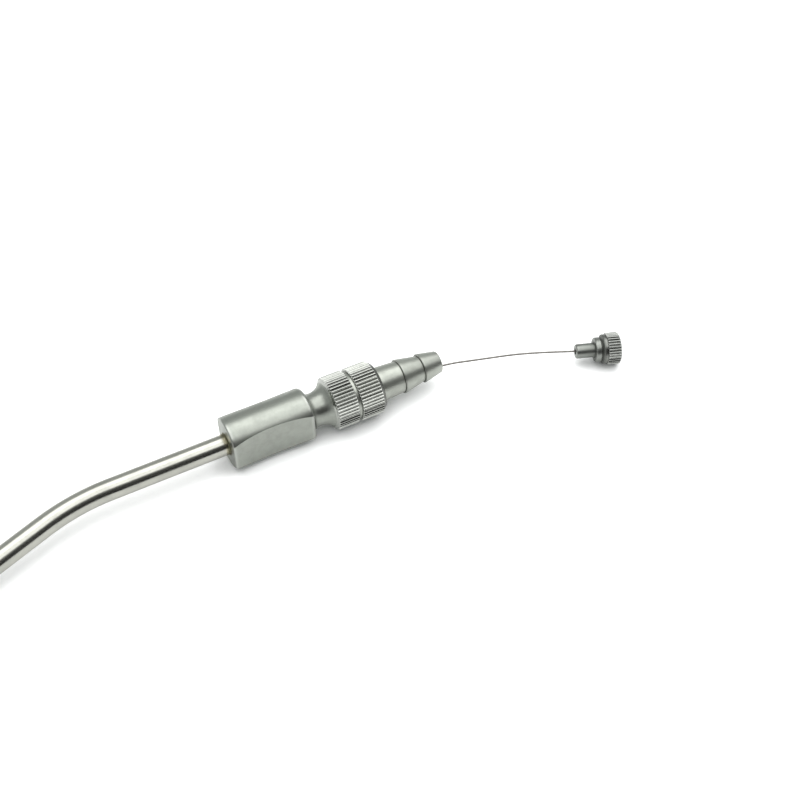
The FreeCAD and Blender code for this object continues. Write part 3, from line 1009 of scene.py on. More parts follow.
class KnurlTool(ShapeTree):
    """Rolls straight ridges into the marked band of a turned piece."""

    name = "straight knurling"
    sizes = {
        "Collar Radius": ("NodeSocketFloat", 0.0052),
        "Groove Depth": ("NodeSocketFloat", 0.00025),
        "Ridge Count": ("NodeSocketInt", 48),
        "Crest Share": ("NodeSocketFloat", 0.08),
        "Phase": ("NodeSocketFloat", 0.0),
        "Unevenness": ("NodeSocketFloat", 0.1),
        "Run Out": ("NodeSocketFloat", 0.00003),
        "Seed": ("NodeSocketInt", 7),
    }

    def shape(self, sheet: NodeSheet, given: bpy.types.Node) -> bpy.types.NodeSocket:
        """Lowers each point of the band to the bottom of the groove that passes it, and paints
        shade that is strongest at the groove bottoms.

        Args:
            sheet: The tree's node sheet.
            given: The tree's inputs.

        Returns:
            The shaped geometry.
        """
        size = given.outputs
        x, y, z = sheet.split(sheet.add("GeometryNodeInputPosition").outputs[0])
        radius = sheet.vector("LENGTH", sheet.combine(0.0, y, z)).outputs["Value"]
        turn = sheet.maths("DIVIDE", sheet.maths("ARCTAN2", y, z), FULL_TURN)
        pitches = sheet.maths("ADD", sheet.maths("MULTIPLY", turn, size["Ridge Count"]),
                              size["Phase"])
        off_crest = sheet.maths("ABSOLUTE", sheet.maths(
            "SUBTRACT", sheet.maths("FRACT", pitches), 0.5))
        flank = sheet.maths("SUBTRACT", sheet.maths("MULTIPLY", off_crest, 2.0),
                            size["Crest Share"])
        flank_share = sheet.maths("SUBTRACT", 1.0, size["Crest Share"])
        level = sheet.span(sheet.maths("DIVIDE", flank, flank_share), 0.0, 1.0, 0.0, 1.0)
        depth = sheet.maths("MULTIPLY", level, size["Groove Depth"])
        depth = sheet.maths("MULTIPLY", depth, self.uneven_depth(sheet, given, pitches))
        floor = sheet.maths("SUBTRACT", size["Collar Radius"], depth)
        lowered = sheet.maths("SMOOTH_MIN", radius, floor, size["Run Out"])
        share = sheet.maths("DIVIDE", lowered, radius)
        inside = sheet.maths("GREATER_THAN", sheet.recall(Mark.BAND), 0.5)
        cut = sheet.maths("DIVIDE", sheet.maths("SUBTRACT", radius, lowered),
                          size["Groove Depth"], clamp=True)
        # Painted shade, strongest at the bottoms of the grooves, joined with the outline's own
        # painted shade.
        bottom = sheet.maths("MULTIPLY", sheet.maths("POWER", cut, 2.0), inside)
        painted_shade = sheet.maths("MAXIMUM", bottom, sheet.recall(Mark.PAINTED_SHADE))
        shaped = sheet.add("GeometryNodeSetPosition")
        sheet.wire(sheet.store(size["Geometry"], Mark.PAINTED_SHADE, painted_shade), shaped.inputs["Geometry"])
        sheet.wire(inside, shaped.inputs["Selection"])
        sheet.wire(sheet.combine(x, sheet.maths("MULTIPLY", y, share),
                                 sheet.maths("MULTIPLY", z, share)), shaped.inputs["Position"])
        return shaped.outputs[0]

    @staticmethod
    def uneven_depth(sheet: NodeSheet, given: bpy.types.Node,
                     pitches: bpy.types.NodeSocket) -> bpy.types.NodeSocket:
        """Draws a share of the full depth for each ridge.

        Args:
            sheet: The tree's node sheet.
            given: The tree's inputs.
            pitches: How many ridges lie between the top and each point.

        Returns:
            The share.
        """
        ridge = sheet.maths("FLOORED_MODULO", sheet.maths("FLOOR", pitches),
                            given.outputs["Ridge Count"])
        chance = sheet.add("FunctionNodeRandomValue", data_type="FLOAT")
        # The range of plain numbers is the node's third and fourth input.
        sheet.wire(sheet.maths("SUBTRACT", 1.0, given.outputs["Unevenness"]), chance.inputs[2])
        chance.inputs[3].default_value = 1.0
        sheet.wire(ridge, chance.inputs["ID"])
        sheet.wire(given.outputs["Seed"], chance.inputs["Seed"])
        return chance.outputs[1]


class DrawBench(ShapeTree):
    """Sweeps a round section along a path whose corners are bent to a radius."""

    name = "drawn section"
    sizes = {
        "Section Radius": ("NodeSocketFloat", 0.002),
        "Sides": ("NodeSocketInt", 96),
        "Bend Radius": ("NodeSocketFloat", 0.018),
        "Bend Steps": ("NodeSocketInt", 24),
    }

    def shape(self, sheet: NodeSheet, given: bpy.types.Node) -> bpy.types.NodeSocket:
        """Bends the path, marks how far along and where round each point is, and sweeps.

        Args:
            sheet: The tree's node sheet.
            given: The tree's inputs.

        Returns:
            The shaped geometry.
        """
        bent = sheet.add("GeometryNodeFilletCurve", mode="POLY")
        sheet.wire(given.outputs["Geometry"], bent.inputs["Curve"])
        sheet.wire(given.outputs["Bend Steps"], bent.inputs["Count"])
        sheet.wire(given.outputs["Bend Radius"], bent.inputs["Radius"])
        bent.inputs["Limit Radius"].default_value = True
        along = sheet.add("GeometryNodeSplineParameter").outputs["Length"]
        run = sheet.store(bent.outputs[0], Mark.RUN, along)
        circle = sheet.add("GeometryNodeCurvePrimitiveCircle", mode="RADIUS")
        sheet.wire(given.outputs["Sides"], circle.inputs["Resolution"])
        sheet.wire(given.outputs["Section Radius"], circle.inputs["Radius"])
        x, y, _ = sheet.split(sheet.add("GeometryNodeInputPosition").outputs[0])
        section = sheet.store(circle.outputs["Curve"], Mark.SECTION, sheet.combine(0.0, x, y),
                              "FLOAT_VECTOR")
        swept = sheet.add("GeometryNodeCurveToMesh")
        sheet.wire(run, swept.inputs["Curve"])
        sheet.wire(section, swept.inputs["Profile Curve"])
        return swept.outputs[0]


def path_object(name: str, points: Sequence[Point]) -> bpy.types.Object:
    """A path of straight runs through points given in millimetres.

    Args:
        name: Name of the object.
        points: The path's corners.

    Returns:
        The curve object.
    """
    curve = bpy.data.curves.new(name, "CURVE")
    curve.dimensions = "3D"
    spline = curve.splines.new("POLY")
    spline.points.add(len(points) - 1)
    for knot, point in zip(spline.points, points):
        knot.co = (*(value * MM for value in point), 1.0)
    return put_in_scene(name, curve)


@dataclass(frozen=True)
class Knurling:
    """The ridges of one knurled band."""

    radius: float
    depth: float
    ridges: int
    phase: float
    seed: int
    crest_share: float = 0.08
    points_per_ridge: int = 12

    @property
    def sides(self) -> int:
        """Points in each ring of a piece that takes these ridges."""
        return self.ridges * self.points_per_ridge

    def roll(self, piece: bpy.types.Object, material: bpy.types.Material) -> bpy.types.Object:
        """Rolls the ridges into the marked band of a piece.

        Args:
            piece: The smooth piece.
            material: Its material.

        Returns:
            The knurled piece.
        """
        return KnurlTool().apply(
            piece, material, Collar_Radius=self.radius * MM, Groove_Depth=self.depth * MM,
            Ridge_Count=self.ridges, Crest_Share=self.crest_share, Phase=self.phase,
            Seed=self.seed)


class TurnedPiece:
    """A piece turned from bar: a skin over rings of points, knurled in its marked band."""

    name = "turned_piece"
    node = "turned_node"
    closed = True
    knurling: Knurling

    def rings(self) -> Rings:
        """The rings of points, from one end of the outline to the other."""
        raise NotImplementedError

    def trim(self, piece: bpy.types.Object) -> bpy.types.Object:
        """Does what comes after the knurling, if anything does."""
        return piece

    def build(self, finish: TurnedFinish) -> bpy.types.Object:
        """Turns, knurls, trims and dresses the piece.

        Args:
            finish: The piece's finish.

        Returns:
            The finished piece.
        """
        material = finish.material()
        piece = self.rings().skin(self.name, self.closed)
        piece = self.trim(self.knurling.roll(piece, material))
        shade_mesh(piece.data)
        dress(piece, material, self.node)
        return piece


@dataclass
class SuctionTube:
    """The bent tube, hollow, with a soft lip at its tip."""

    start: float = HANDLE_START + 5.0
    bend_x: float = -72.5626
    tip: Point = (-168.7120, -33.8976, -3.2)
    radius: float = 2.0
    wall: float = 0.4
    bend_radius: float = 38.0
    lip: float = 0.12
    lip_angle: float = 60.0
    sides: int = 128
    bend_steps: int = 28

    def build(self, finish: DrawnFinish) -> bpy.types.Object:
        """Sweeps the tube and gives it its wall and lips.

        Args:
            finish: The tube's finish.

        Returns:
            The finished piece.
        """
        material = finish.material()
        path = path_object("bent_tube", [(self.start, 0.0, 0.0), (self.bend_x, 0.0, 0.0),
                                         self.tip])
        tube = DrawBench().apply(path, material, Section_Radius=self.radius * MM,
                                 Sides=self.sides, Bend_Radius=self.bend_radius * MM,
                                 Bend_Steps=self.bend_steps)
        self.point_outwards(tube)
        wall = tube.modifiers.new("wall", "SOLIDIFY")
        wall.thickness = self.wall * MM
        wall.offset = -1.0
        lip = tube.modifiers.new("lip", "BEVEL")
        lip.width = self.lip * MM
        lip.segments = 4
        lip.limit_method = "ANGLE"
        lip.angle_limit = math.radians(self.lip_angle)
        tube = plain_mesh(tube, "bent_tube")
        shade_mesh(tube.data)
        dress(tube, material, "suction_tube")
        return tube

    @staticmethod
    def point_outwards(tube: bpy.types.Object) -> None:
        """Turns the open sleeve's faces so that they all point away from its path.

        Args:
            tube: The sleeve.
        """
        with edited(tube.data) as work:
            bmesh.ops.recalc_face_normals(work, faces=work.faces)
            work.faces.ensure_lookup_table()
            sample = work.faces[0]
            spoke = sample.calc_center_median()
            spoke.x = 0.0
            if sample.normal.dot(spoke) < 0.0:
                bmesh.ops.reverse_faces(work, faces=work.faces)


@dataclass
class BrazeRing:
    """The run of braze in the corner between the tube and the end of the handle."""

    face: float = HANDLE_START
    inner: float = 2.02
    edge: float = 0.005
    reach: float = 0.28
    climb: float = 0.26
    lumps: float = 0.07
    waves: range = range(2, 9)
    sides: int = 192
    steps: int = 8
    seed: int = 11

    def build(self, finish: BrazeFinish) -> bpy.types.Object:
        """Makes the lumpy hollow ring.

        Args:
            finish: The braze's finish.

        Returns:
            The finished piece.
        """
        chance = np.random.default_rng(self.seed)
        angles = np.arange(self.sides) * FULL_TURN / self.sides
        swell = np.zeros(self.sides)
        for wave in self.waves:
            swell += np.sin(wave * angles + chance.uniform(0.0, FULL_TURN)) / wave
        swell = 1.0 - self.lumps + self.lumps * swell
        rings = Rings()
        for step in range(self.steps + 1):
            turn = QUARTER_TURN * step / self.steps
            along = self.reach * (1.0 - math.sin(turn)) * swell
            out = self.climb * (1.0 - math.cos(turn)) * swell
            rings.add(self.ring(angles, self.face - along, self.inner + self.edge + out))
        flat = np.full(self.sides, self.face)
        rings.add(self.ring(angles, flat, np.full(self.sides, self.inner)))
        rings.add(self.ring(angles, self.face - self.reach * swell,
                            np.full(self.sides, self.inner)))
        braze = rings.skin("braze_fillet", closed=True)
        dress(braze, finish.material(), "braze_ring")
        return braze

    @staticmethod
    def ring(angles: np.ndarray, x: np.ndarray, radius: np.ndarray) -> np.ndarray:
        """Points round the axis whose place and radius change from point to point."""
        return np.stack([x, radius * np.sin(angles), radius * np.cos(angles)], 1)


@dataclass
class HandleGrip(TurnedPiece):
    """The thumb grip with its two saddles, the waisted neck and the first collar."""

    name = "thumb_handle"
    node = "handle_grip"

    start: float = HANDLE_START
    length: float = 16.2
    radius: float = 5.0
    edge: float = 0.42
    far_edge: float = 0.75
    edge_steps: int = 7
    body_from: float = 0.84
    body_to: float = 15.225
    body_rings: int = 56
    saddle_radius: float = 42.0
    half_web: float = 3.3
    saddle_edge: float = 0.16
    round_share: float = 0.56
    soft_share: float = 0.12
    socket_radius: float = 2.02
    socket_depth: float = 5.0
    bore_radius: float = 1.5
    neck_radius: float = 3.25
    neck_length: float = 1.42
    heel_length: float = 1.3
    heel_rise: float = 0.45
    cove_radius: float = 3.15
    rim_radius: float = 4.94
    collar_start: float = 20.4126
    collar_end: float = 24.7126
    band_lead: float = 0.12
    band_inset: float = 0.9
    end_chamfer: tuple[float, float] = (0.14, 0.30)
    thread_radius: float = 3.05
    thread_depth: float = 4.7
    vent_centre: float = 7.2
    vent_span: float = 2.6
    vent_wide: float = 1.1
    vent_narrow: float = 0.45
    vent_floor: float = 0.9
    vent_rim: Outline = field(default_factory=lambda: [
        (-0.22, 0.0), (-0.12, 0.02), (-0.05, 0.07), (0.0, 0.16), (0.6, 0.76)])
    knurling: Knurling = Knurling(radius=5.2, depth=0.27, ridges=48, phase=0.0, seed=7)

    def half_width(self, x: float) -> float:
        """Half the grip's width between its saddles.

        Args:
            x: Place from the grip's start.

        Returns:
            The half width there.
        """
        off = x - self.length / 2.0
        sweep = self.saddle_radius
        return self.half_web + sweep - math.sqrt(sweep * sweep - off * off)

    def section(self, x: float, inset: float) -> np.ndarray:
        """One ring of the grip: two round faces, two saddles and four soft edges.

        Args:
            x: Place from the grip's start.
            inset: How far the ring is drawn in from the full section.

        Returns:
            The ring's points.
        """
        radius = self.radius - inset
        half = self.half_width(x) - inset
        soft = self.saddle_edge
        centre_y = half - soft
        centre_z = math.sqrt((radius - soft) ** 2 - centre_y ** 2)
        lean = math.atan2(centre_y, centre_z)
        per_side = self.knurling.sides // 4
        round_count = int(per_side * self.round_share)
        soft_count = int(per_side * self.soft_share)
        flat_count = per_side - round_count - soft_count
        quarter = []
        for step in range(round_count):
            angle = lean * step / round_count
            quarter.append((radius * math.sin(angle), radius * math.cos(angle)))
        for step in range(soft_count):
            angle = lean + (QUARTER_TURN - lean) * step / soft_count
            quarter.append((centre_y + soft * math.sin(angle),
                            centre_z + soft * math.cos(angle)))
        for step in range(flat_count):
            quarter.append((half, centre_z * (1.0 - step / flat_count)))
        first = np.array(quarter)
        lower = np.array([(half, 0.0)] + [(y, -z) for y, z in quarter[:0:-1]])
        right = np.concatenate([first, lower])
        left = np.concatenate([[(0.0, -radius)], right[:0:-1] * np.array([-1.0, 1.0])])
        ring = np.concatenate([right, left])
        return np.column_stack([np.full(len(ring), self.start + x), ring])

    def grip_rings(self, rings: Rings) -> None:
        """Adds the end face, the edges and the body of the grip.

        Args:
            rings: The rings so far.
        """
        sides = self.knurling.sides
        inner = circle_ring(self.start, self.socket_radius, sides)
        face = self.section(0.0, self.edge)
        for share in (0.0, 0.35, 0.7, 0.95):
            rings.add(self.between(inner, face, share, 0.0))
        turns = [QUARTER_TURN * step / self.edge_steps for step in range(self.edge_steps + 1)]
        for turn in turns:
            rings.add(self.section(self.edge * (1.0 - math.cos(turn)),
                                   self.edge * (1.0 - math.sin(turn))), edge=1.0)
        for station in np.linspace(self.body_from, self.body_to, self.body_rings):
            rings.add(self.section(float(station), 0.0))
        for turn in turns:
            rings.add(self.section(self.length - self.far_edge * (1.0 - math.sin(turn)),
                                   self.far_edge * (1.0 - math.cos(turn))), edge=1.0)
        neck = circle_ring(self.start + self.length, self.neck_radius + self.heel_rise, sides)
        face = self.section(self.length, self.far_edge)
        for share in (0.05, 0.35, 0.7):
            rings.add(self.between(face, neck, share, self.length))

    def between(self, first: np.ndarray, last: np.ndarray, share: float, x: float) -> np.ndarray:
        """A ring of an end face, between its inner and its outer ring.

        Args:
            first: The ring that it starts from.
            last: The ring that it leads to.
            share: How far it is on the way.
            x: Place of the face from the grip's start.

        Returns:
            The ring's points.
        """
        ring = first * (1.0 - share) + last * share
        ring[:, 0] = self.start + x
        return ring

    def turned_rings(self, rings: Rings) -> None:
        """Adds the neck, the cove, the collar, the thread's socket and the bore.

        Args:
            rings: The rings so far.
        """
        cove_start = self.length + self.neck_length
        heel_end = self.length + self.heel_length
        sweep = (self.heel_length ** 2 + self.heel_rise ** 2) / (2.0 * self.heel_rise)
        heel = arc_points(-heel_end, self.neck_radius, sweep, self.heel_rise, 8)
        cove = arc_points(cove_start, self.neck_radius, self.cove_radius,
                          self.rim_radius - self.neck_radius, 14)
        radius = self.knurling.radius
        chamfer_width, chamfer_drop = self.end_chamfer
        # The fourth number of a corner is painted shade: the dark foot of the neck against the
        # grip's end.
        corners = [Corner(self.length, self.neck_radius + self.heel_rise, 0.0, 0.9)]
        corners += [Corner(-x, height) for x, height in heel[-2::-1]]
        corners += [Corner(heel_end, self.neck_radius), Corner(cove_start, self.neck_radius)]
        corners += [Corner(x, height) for x, height in cove[:-1]]
        corners += [
            Corner(self.collar_start - 0.02, self.rim_radius - 0.02),
            Corner(self.collar_start + self.band_lead, radius, 0.22),
            Corner(self.collar_start + self.band_inset, radius),
            Corner(self.collar_end - self.band_inset, radius),
            Corner(self.collar_end - chamfer_width, radius, 0.06),
            Corner(self.collar_end, radius - chamfer_drop, 0.05),
            Corner(self.collar_end, self.thread_radius),
            Corner(self.collar_end - self.thread_depth, self.thread_radius),
            Corner(self.collar_end - self.thread_depth, self.bore_radius),
            Corner(self.socket_depth, self.bore_radius),
            Corner(self.socket_depth, self.socket_radius),
        ]
        for x, height, edge, painted_shade in soften(corners, closed=False):
            band = float(self.collar_start - 0.5 < x and height > 4.4)
            rings.add(circle_ring(self.start + x, height, self.knurling.sides), band=band,
                      edge=edge * float(height > 4.0), painted_shade=painted_shade)

    def rings(self) -> Rings:
        """The rings of the grip and then of all that is turned.

        Returns:
            The rings.
        """
        rings = Rings()
        self.grip_rings(rings)
        self.turned_rings(rings)
        return rings

    def trim(self, piece: bpy.types.Object) -> bpy.types.Object:
        """Cuts the drop-shaped finger vent, with an eased rim, into the far saddle.

        Args:
            piece: The knurled handle.

        Returns:
            The handle with its vent.
        """
        surface = self.half_width(self.vent_centre)
        rings = Rings()
        rings.add(self.drop_ring(self.vent_floor, 0.0))
        for height, flare in self.vent_rim:
            rings.add(self.drop_ring(surface + height, flare))
        cutter = rings.skin("vent_cutter", closed=False)
        vent = piece.modifiers.new("vent", "BOOLEAN")
        vent.operation = "DIFFERENCE"
        vent.solver = "EXACT"
        vent.object = cutter
        result = plain_mesh(piece, self.name)
        bpy.data.objects.remove(cutter)
        return result

    def drop_ring(self, y: float, flare: float) -> np.ndarray:
        """One level of the vent's cutter.

        Args:
            y: Its level.
            flare: How far it stands out from the vent's own outline.

        Returns:
            The ring's points.
        """
        wide, narrow = self.vent_wide + flare, self.vent_narrow + flare
        lean = math.asin((self.vent_wide - self.vent_narrow) / self.vent_span)
        head = np.linspace(QUARTER_TURN - lean, 3.0 * QUARTER_TURN + lean, 40)
        tail = np.linspace(-QUARTER_TURN + lean, QUARTER_TURN - lean, 20)
        first = np.stack([self.vent_centre + wide * np.cos(head), wide * np.sin(head)], 1)
        second = np.stack([self.vent_centre + self.vent_span + narrow * np.cos(tail),
                           narrow * np.sin(tail)], 1)
        outline = np.concatenate([first, second])
        return np.column_stack([outline[:, 0] + self.start, np.full(len(outline), y),
                                outline[:, 1]])


@dataclass
class HoseNozzle(TurnedPiece):
    """The second collar, the stepped barb and the hidden spigot."""

    name = "barbed_nozzle"
    node = "hose_nozzle"

    start: float = -19.15
    collar_width: float = 5.65
    rim_radius: float = 4.94
    chamfer: float = 0.66
    seat_width: float = 0.75
    seat_radius: float = 4.7
    face_radius: float = 3.7
    root_radius: float = 3.4
    root_end_radius: float = 3.1
    root_length: float = 5.0
    first_radius: float = 3.45
    first_end_radius: float = 2.55
    first_length: float = 4.5
    second_radius: float = 2.95
    mouth_radius: float = 2.15
    second_length: float = 4.0
    bore_radius: float = 1.5
    spigot_radius: float = 3.0
    spigot_length: float = 4.4
    knurling: Knurling = Knurling(radius=5.2, depth=0.27, ridges=48, phase=0.42, seed=19)

    def outline(self) -> list[Corner]:
        """Corners of the whole turned outline, from the spigot's bore round and back.

        Returns:
            The corners, in order.
        """
        seat, width, radius = self.seat_width, self.collar_width, self.knurling.radius
        rim_end = self.rim_radius - self.chamfer / 2.0
        barb = width + self.root_length
        second = barb + self.first_length
        mouth = second + self.second_length
        # The fourth numbers of the corners paint shade into the seat, the rim at the collar's end
        # and the steps of the barb.
        return [
            Corner(-self.spigot_length, self.bore_radius, 0.1),
            Corner(-self.spigot_length, self.spigot_radius, 0.2),
            Corner(0.0, self.spigot_radius),
            Corner(0.0, self.seat_radius),
            Corner(seat - 0.34, self.seat_radius),
            Corner(seat - 0.22, self.seat_radius, 0.05, 0.5),
            Corner(seat - 0.14, self.rim_radius, 0.04, 0.3),
            Corner(seat, radius, 0.06),
            Corner(seat + 0.7, radius),
            Corner(width - 1.1, radius),
            Corner(width - self.chamfer, radius, 0.08),
            Corner(width - self.chamfer + 0.12, self.rim_radius - 0.02, 0.04, 1.0),
            Corner(width, rim_end, 0.08, 1.0),
            Corner(width, rim_end - 0.3),
            Corner(width, self.face_radius),
            Corner(width, self.root_radius, 0.08, 1.0),
            Corner(width + 0.3, self.root_radius - 0.018),
            Corner(barb - 0.16, self.root_end_radius + 0.01),
            Corner(barb, self.root_end_radius, 0.06, 1.0),
            Corner(barb, self.first_radius, 0.16, 0.25),
            Corner(barb + 0.4, self.first_radius - 0.08),
            Corner(second - 0.16, self.first_end_radius + 0.032),
            Corner(second, self.first_end_radius, 0.05, 1.0),
            Corner(second, self.second_radius, 0.16, 0.25),
            Corner(second + 0.4, self.second_radius - 0.08),
            Corner(mouth, self.mouth_radius, 0.24),
            Corner(mouth, self.bore_radius, 0.18),
        ]

    def rings(self) -> Rings:
        """The rings of the outline, with its knurled band marked.

        Returns:
            The rings.
        """
        rings = Rings()
        for x, radius, edge, painted_shade in soften(self.outline(), closed=True):
            band = float(self.seat_width - 0.2 < x < self.collar_width - 0.3
                         and radius > self.seat_radius + 0.1)
            rings.add(circle_ring(self.start + x, radius, self.knurling.sides), band=band,
                      edge=edge * float(x > 0.0), painted_shade=painted_shade)
        return rings


@dataclass
class StyletKnob(TurnedPiece):
    """The stylet's knob, turned at the origin and then laid where the wire carries it."""

    name = "stylet_knob_piece"
    node = "stylet_knob"
    closed = False

    place: Point = (26.15, -8.7, -2.03)
    yaw: float = 21.0
    nose_radius: float = 1.44
    nose_length: float = 3.75
    hole_radius: float = 0.62
    hole_depth: float = 1.2
    wire_hole_radius: float = 0.22
    wire_hole_end: float = 4.2
    flange_radius: float = 2.45
    flange_width: float = 1.25
    cone_length: float = 0.3
    land: float = 0.75
    rim_radius: float = 2.93
    width: float = 2.65
    pole_radius: float = 0.2
    knurling: Knurling = Knurling(radius=3.17, depth=0.22, ridges=34, phase=0.2, seed=31,
                                  crest_share=0.12)

    def outline(self) -> list[Corner]:
        """Corners of the knob's outline, from the bottom of the wire's hole round to its end.

        Returns:
            The corners, in order.
        """
        nose, flange, radius = self.nose_length, self.flange_radius, self.knurling.radius
        flange_end = nose + self.flange_width
        land_start = flange_end + self.cone_length
        knob_start = land_start + self.land
        knob_end = knob_start + self.width
        # The fourth numbers of the corners paint shade into the hole, the flange's feet and the
        # face in front of the knurling.
        return [
            Corner(self.wire_hole_end, self.wire_hole_radius),
            Corner(self.hole_depth, self.wire_hole_radius),
            Corner(self.hole_depth, self.hole_radius, 0.0, 1.0),
            Corner(0.15, self.hole_radius, 0.0, 1.0),
            Corner(0.0, self.hole_radius, 0.06),
            Corner(0.0, self.nose_radius, 0.34),
            Corner(nose - 0.2, self.nose_radius),
            Corner(nose, self.nose_radius, 0.08, 0.8),
            Corner(nose, flange - 0.12, 0.14),
            Corner(nose + 0.25, flange, 0.5),
            Corner(flange_end - 0.2, flange, 0.4),
            Corner(flange_end, flange - 0.2, 0.1, 0.9),
            Corner(land_start, self.rim_radius, 0.25, 0.6),
            Corner(knob_start - 0.3, self.rim_radius, 0.0, 0.6),
            Corner(knob_start - 0.02, self.rim_radius, 0.0, 1.0),
            Corner(knob_start + 0.08, radius, 0.14),
            Corner(knob_start + 0.5, radius),
            Corner(knob_end - 0.6, radius),
            Corner(knob_end - 0.3, radius, 0.12),
            Corner(knob_end, radius - 0.39, 0.14),
            Corner(knob_end, 0.9),
            Corner(knob_end, self.pole_radius),
        ]

    def rings(self) -> Rings:
        """The rings of the outline, with its knurled band marked.

        Returns:
            The rings.
        """
        band_start = self.nose_length + self.flange_width + self.cone_length + 0.4
        rings = Rings()
        for x, radius, edge, painted_shade in soften(self.outline(), closed=False):
            rings.add(circle_ring(x, radius, self.knurling.sides),
                      band=float(x > band_start and radius > 2.5), edge=edge, painted_shade=painted_shade)
        return rings

    def trim(self, piece: bpy.types.Object) -> bpy.types.Object:
        """Turns and moves the mesh's own points, so that the object stays at the origin.

        Args:
            piece: The knurled knob, on the X axis.

        Returns:
            The knob where it lies.
        """
        mesh = piece.data
        turn = -math.radians(self.yaw)
        points = np.empty(len(mesh.vertices) * 3)
        mesh.vertices.foreach_get("co", points)
        points = points.reshape(-1, 3)
        x, y = points[:, 0].copy(), points[:, 1].copy()
        points[:, 0] = x * math.cos(turn) - y * math.sin(turn) + self.place[0] * MM
        points[:, 1] = x * math.sin(turn) + y * math.cos(turn) + self.place[1] * MM
        points[:, 2] += self.place[2] * MM
        mesh.vertices.foreach_set("co", points.ravel())
        mesh.update()
        return piece


@dataclass
class StyletWire:
    """The springy cleaning wire, from deep in the tube to the knob."""

    radius: float = 0.2
    sides: int = 28
    bend_radius: float = 60.0
    bend_steps: int = 10
    end_angle: float = 50.0
    hidden: tuple[Point, ...] = (
        (-140.43, -23.94, -3.48), (-72.5626, 0.0, -1.22), (-4.0, 0.0, -1.22))
    shown: tuple[Point, ...] = (
        (0.8, -0.05, -1.25), (5.0, -1.22, -1.42), (9.2, -2.38, -1.56), (13.9, -3.68, -1.7),
        (17.6, -4.92, -1.82), (21.65, -6.62, -1.93))
    seat: tuple[Point, ...] = ((26.45, -8.78, -2.03), (30.05, -10.19, -2.03))

    def build(self, finish: DrawnFinish) -> bpy.types.Object:
        """Sweeps the wire along its smooth path.

        Args:
            finish: The wire's finish.

        Returns:
            The finished piece.
        """
        material = finish.material()
        path = path_object("springy_wire", [*self.hidden, *self.shown, *self.seat])
        wire = DrawBench().apply(path, material, Section_Radius=self.radius * MM,
                                 Sides=self.sides, Bend_Radius=self.bend_radius * MM,
                                 Bend_Steps=self.bend_steps)
        self.close_ends(wire)
        shade_mesh(wire.data, self.end_angle)
        dress(wire, material, "stylet_wire")
        return wire

    @staticmethod
    def close_ends(wire: bpy.types.Object) -> None:
        """Fills both open ends and points the faces outwards.

        Args:
            wire: The swept wire.
        """
        with edited(wire.data) as work:
            rims = [edge for edge in work.edges if edge.is_boundary]
            bmesh.ops.holes_fill(work, edges=rims, sides=0)
            bmesh.ops.recalc_face_normals(work, faces=work.faces)


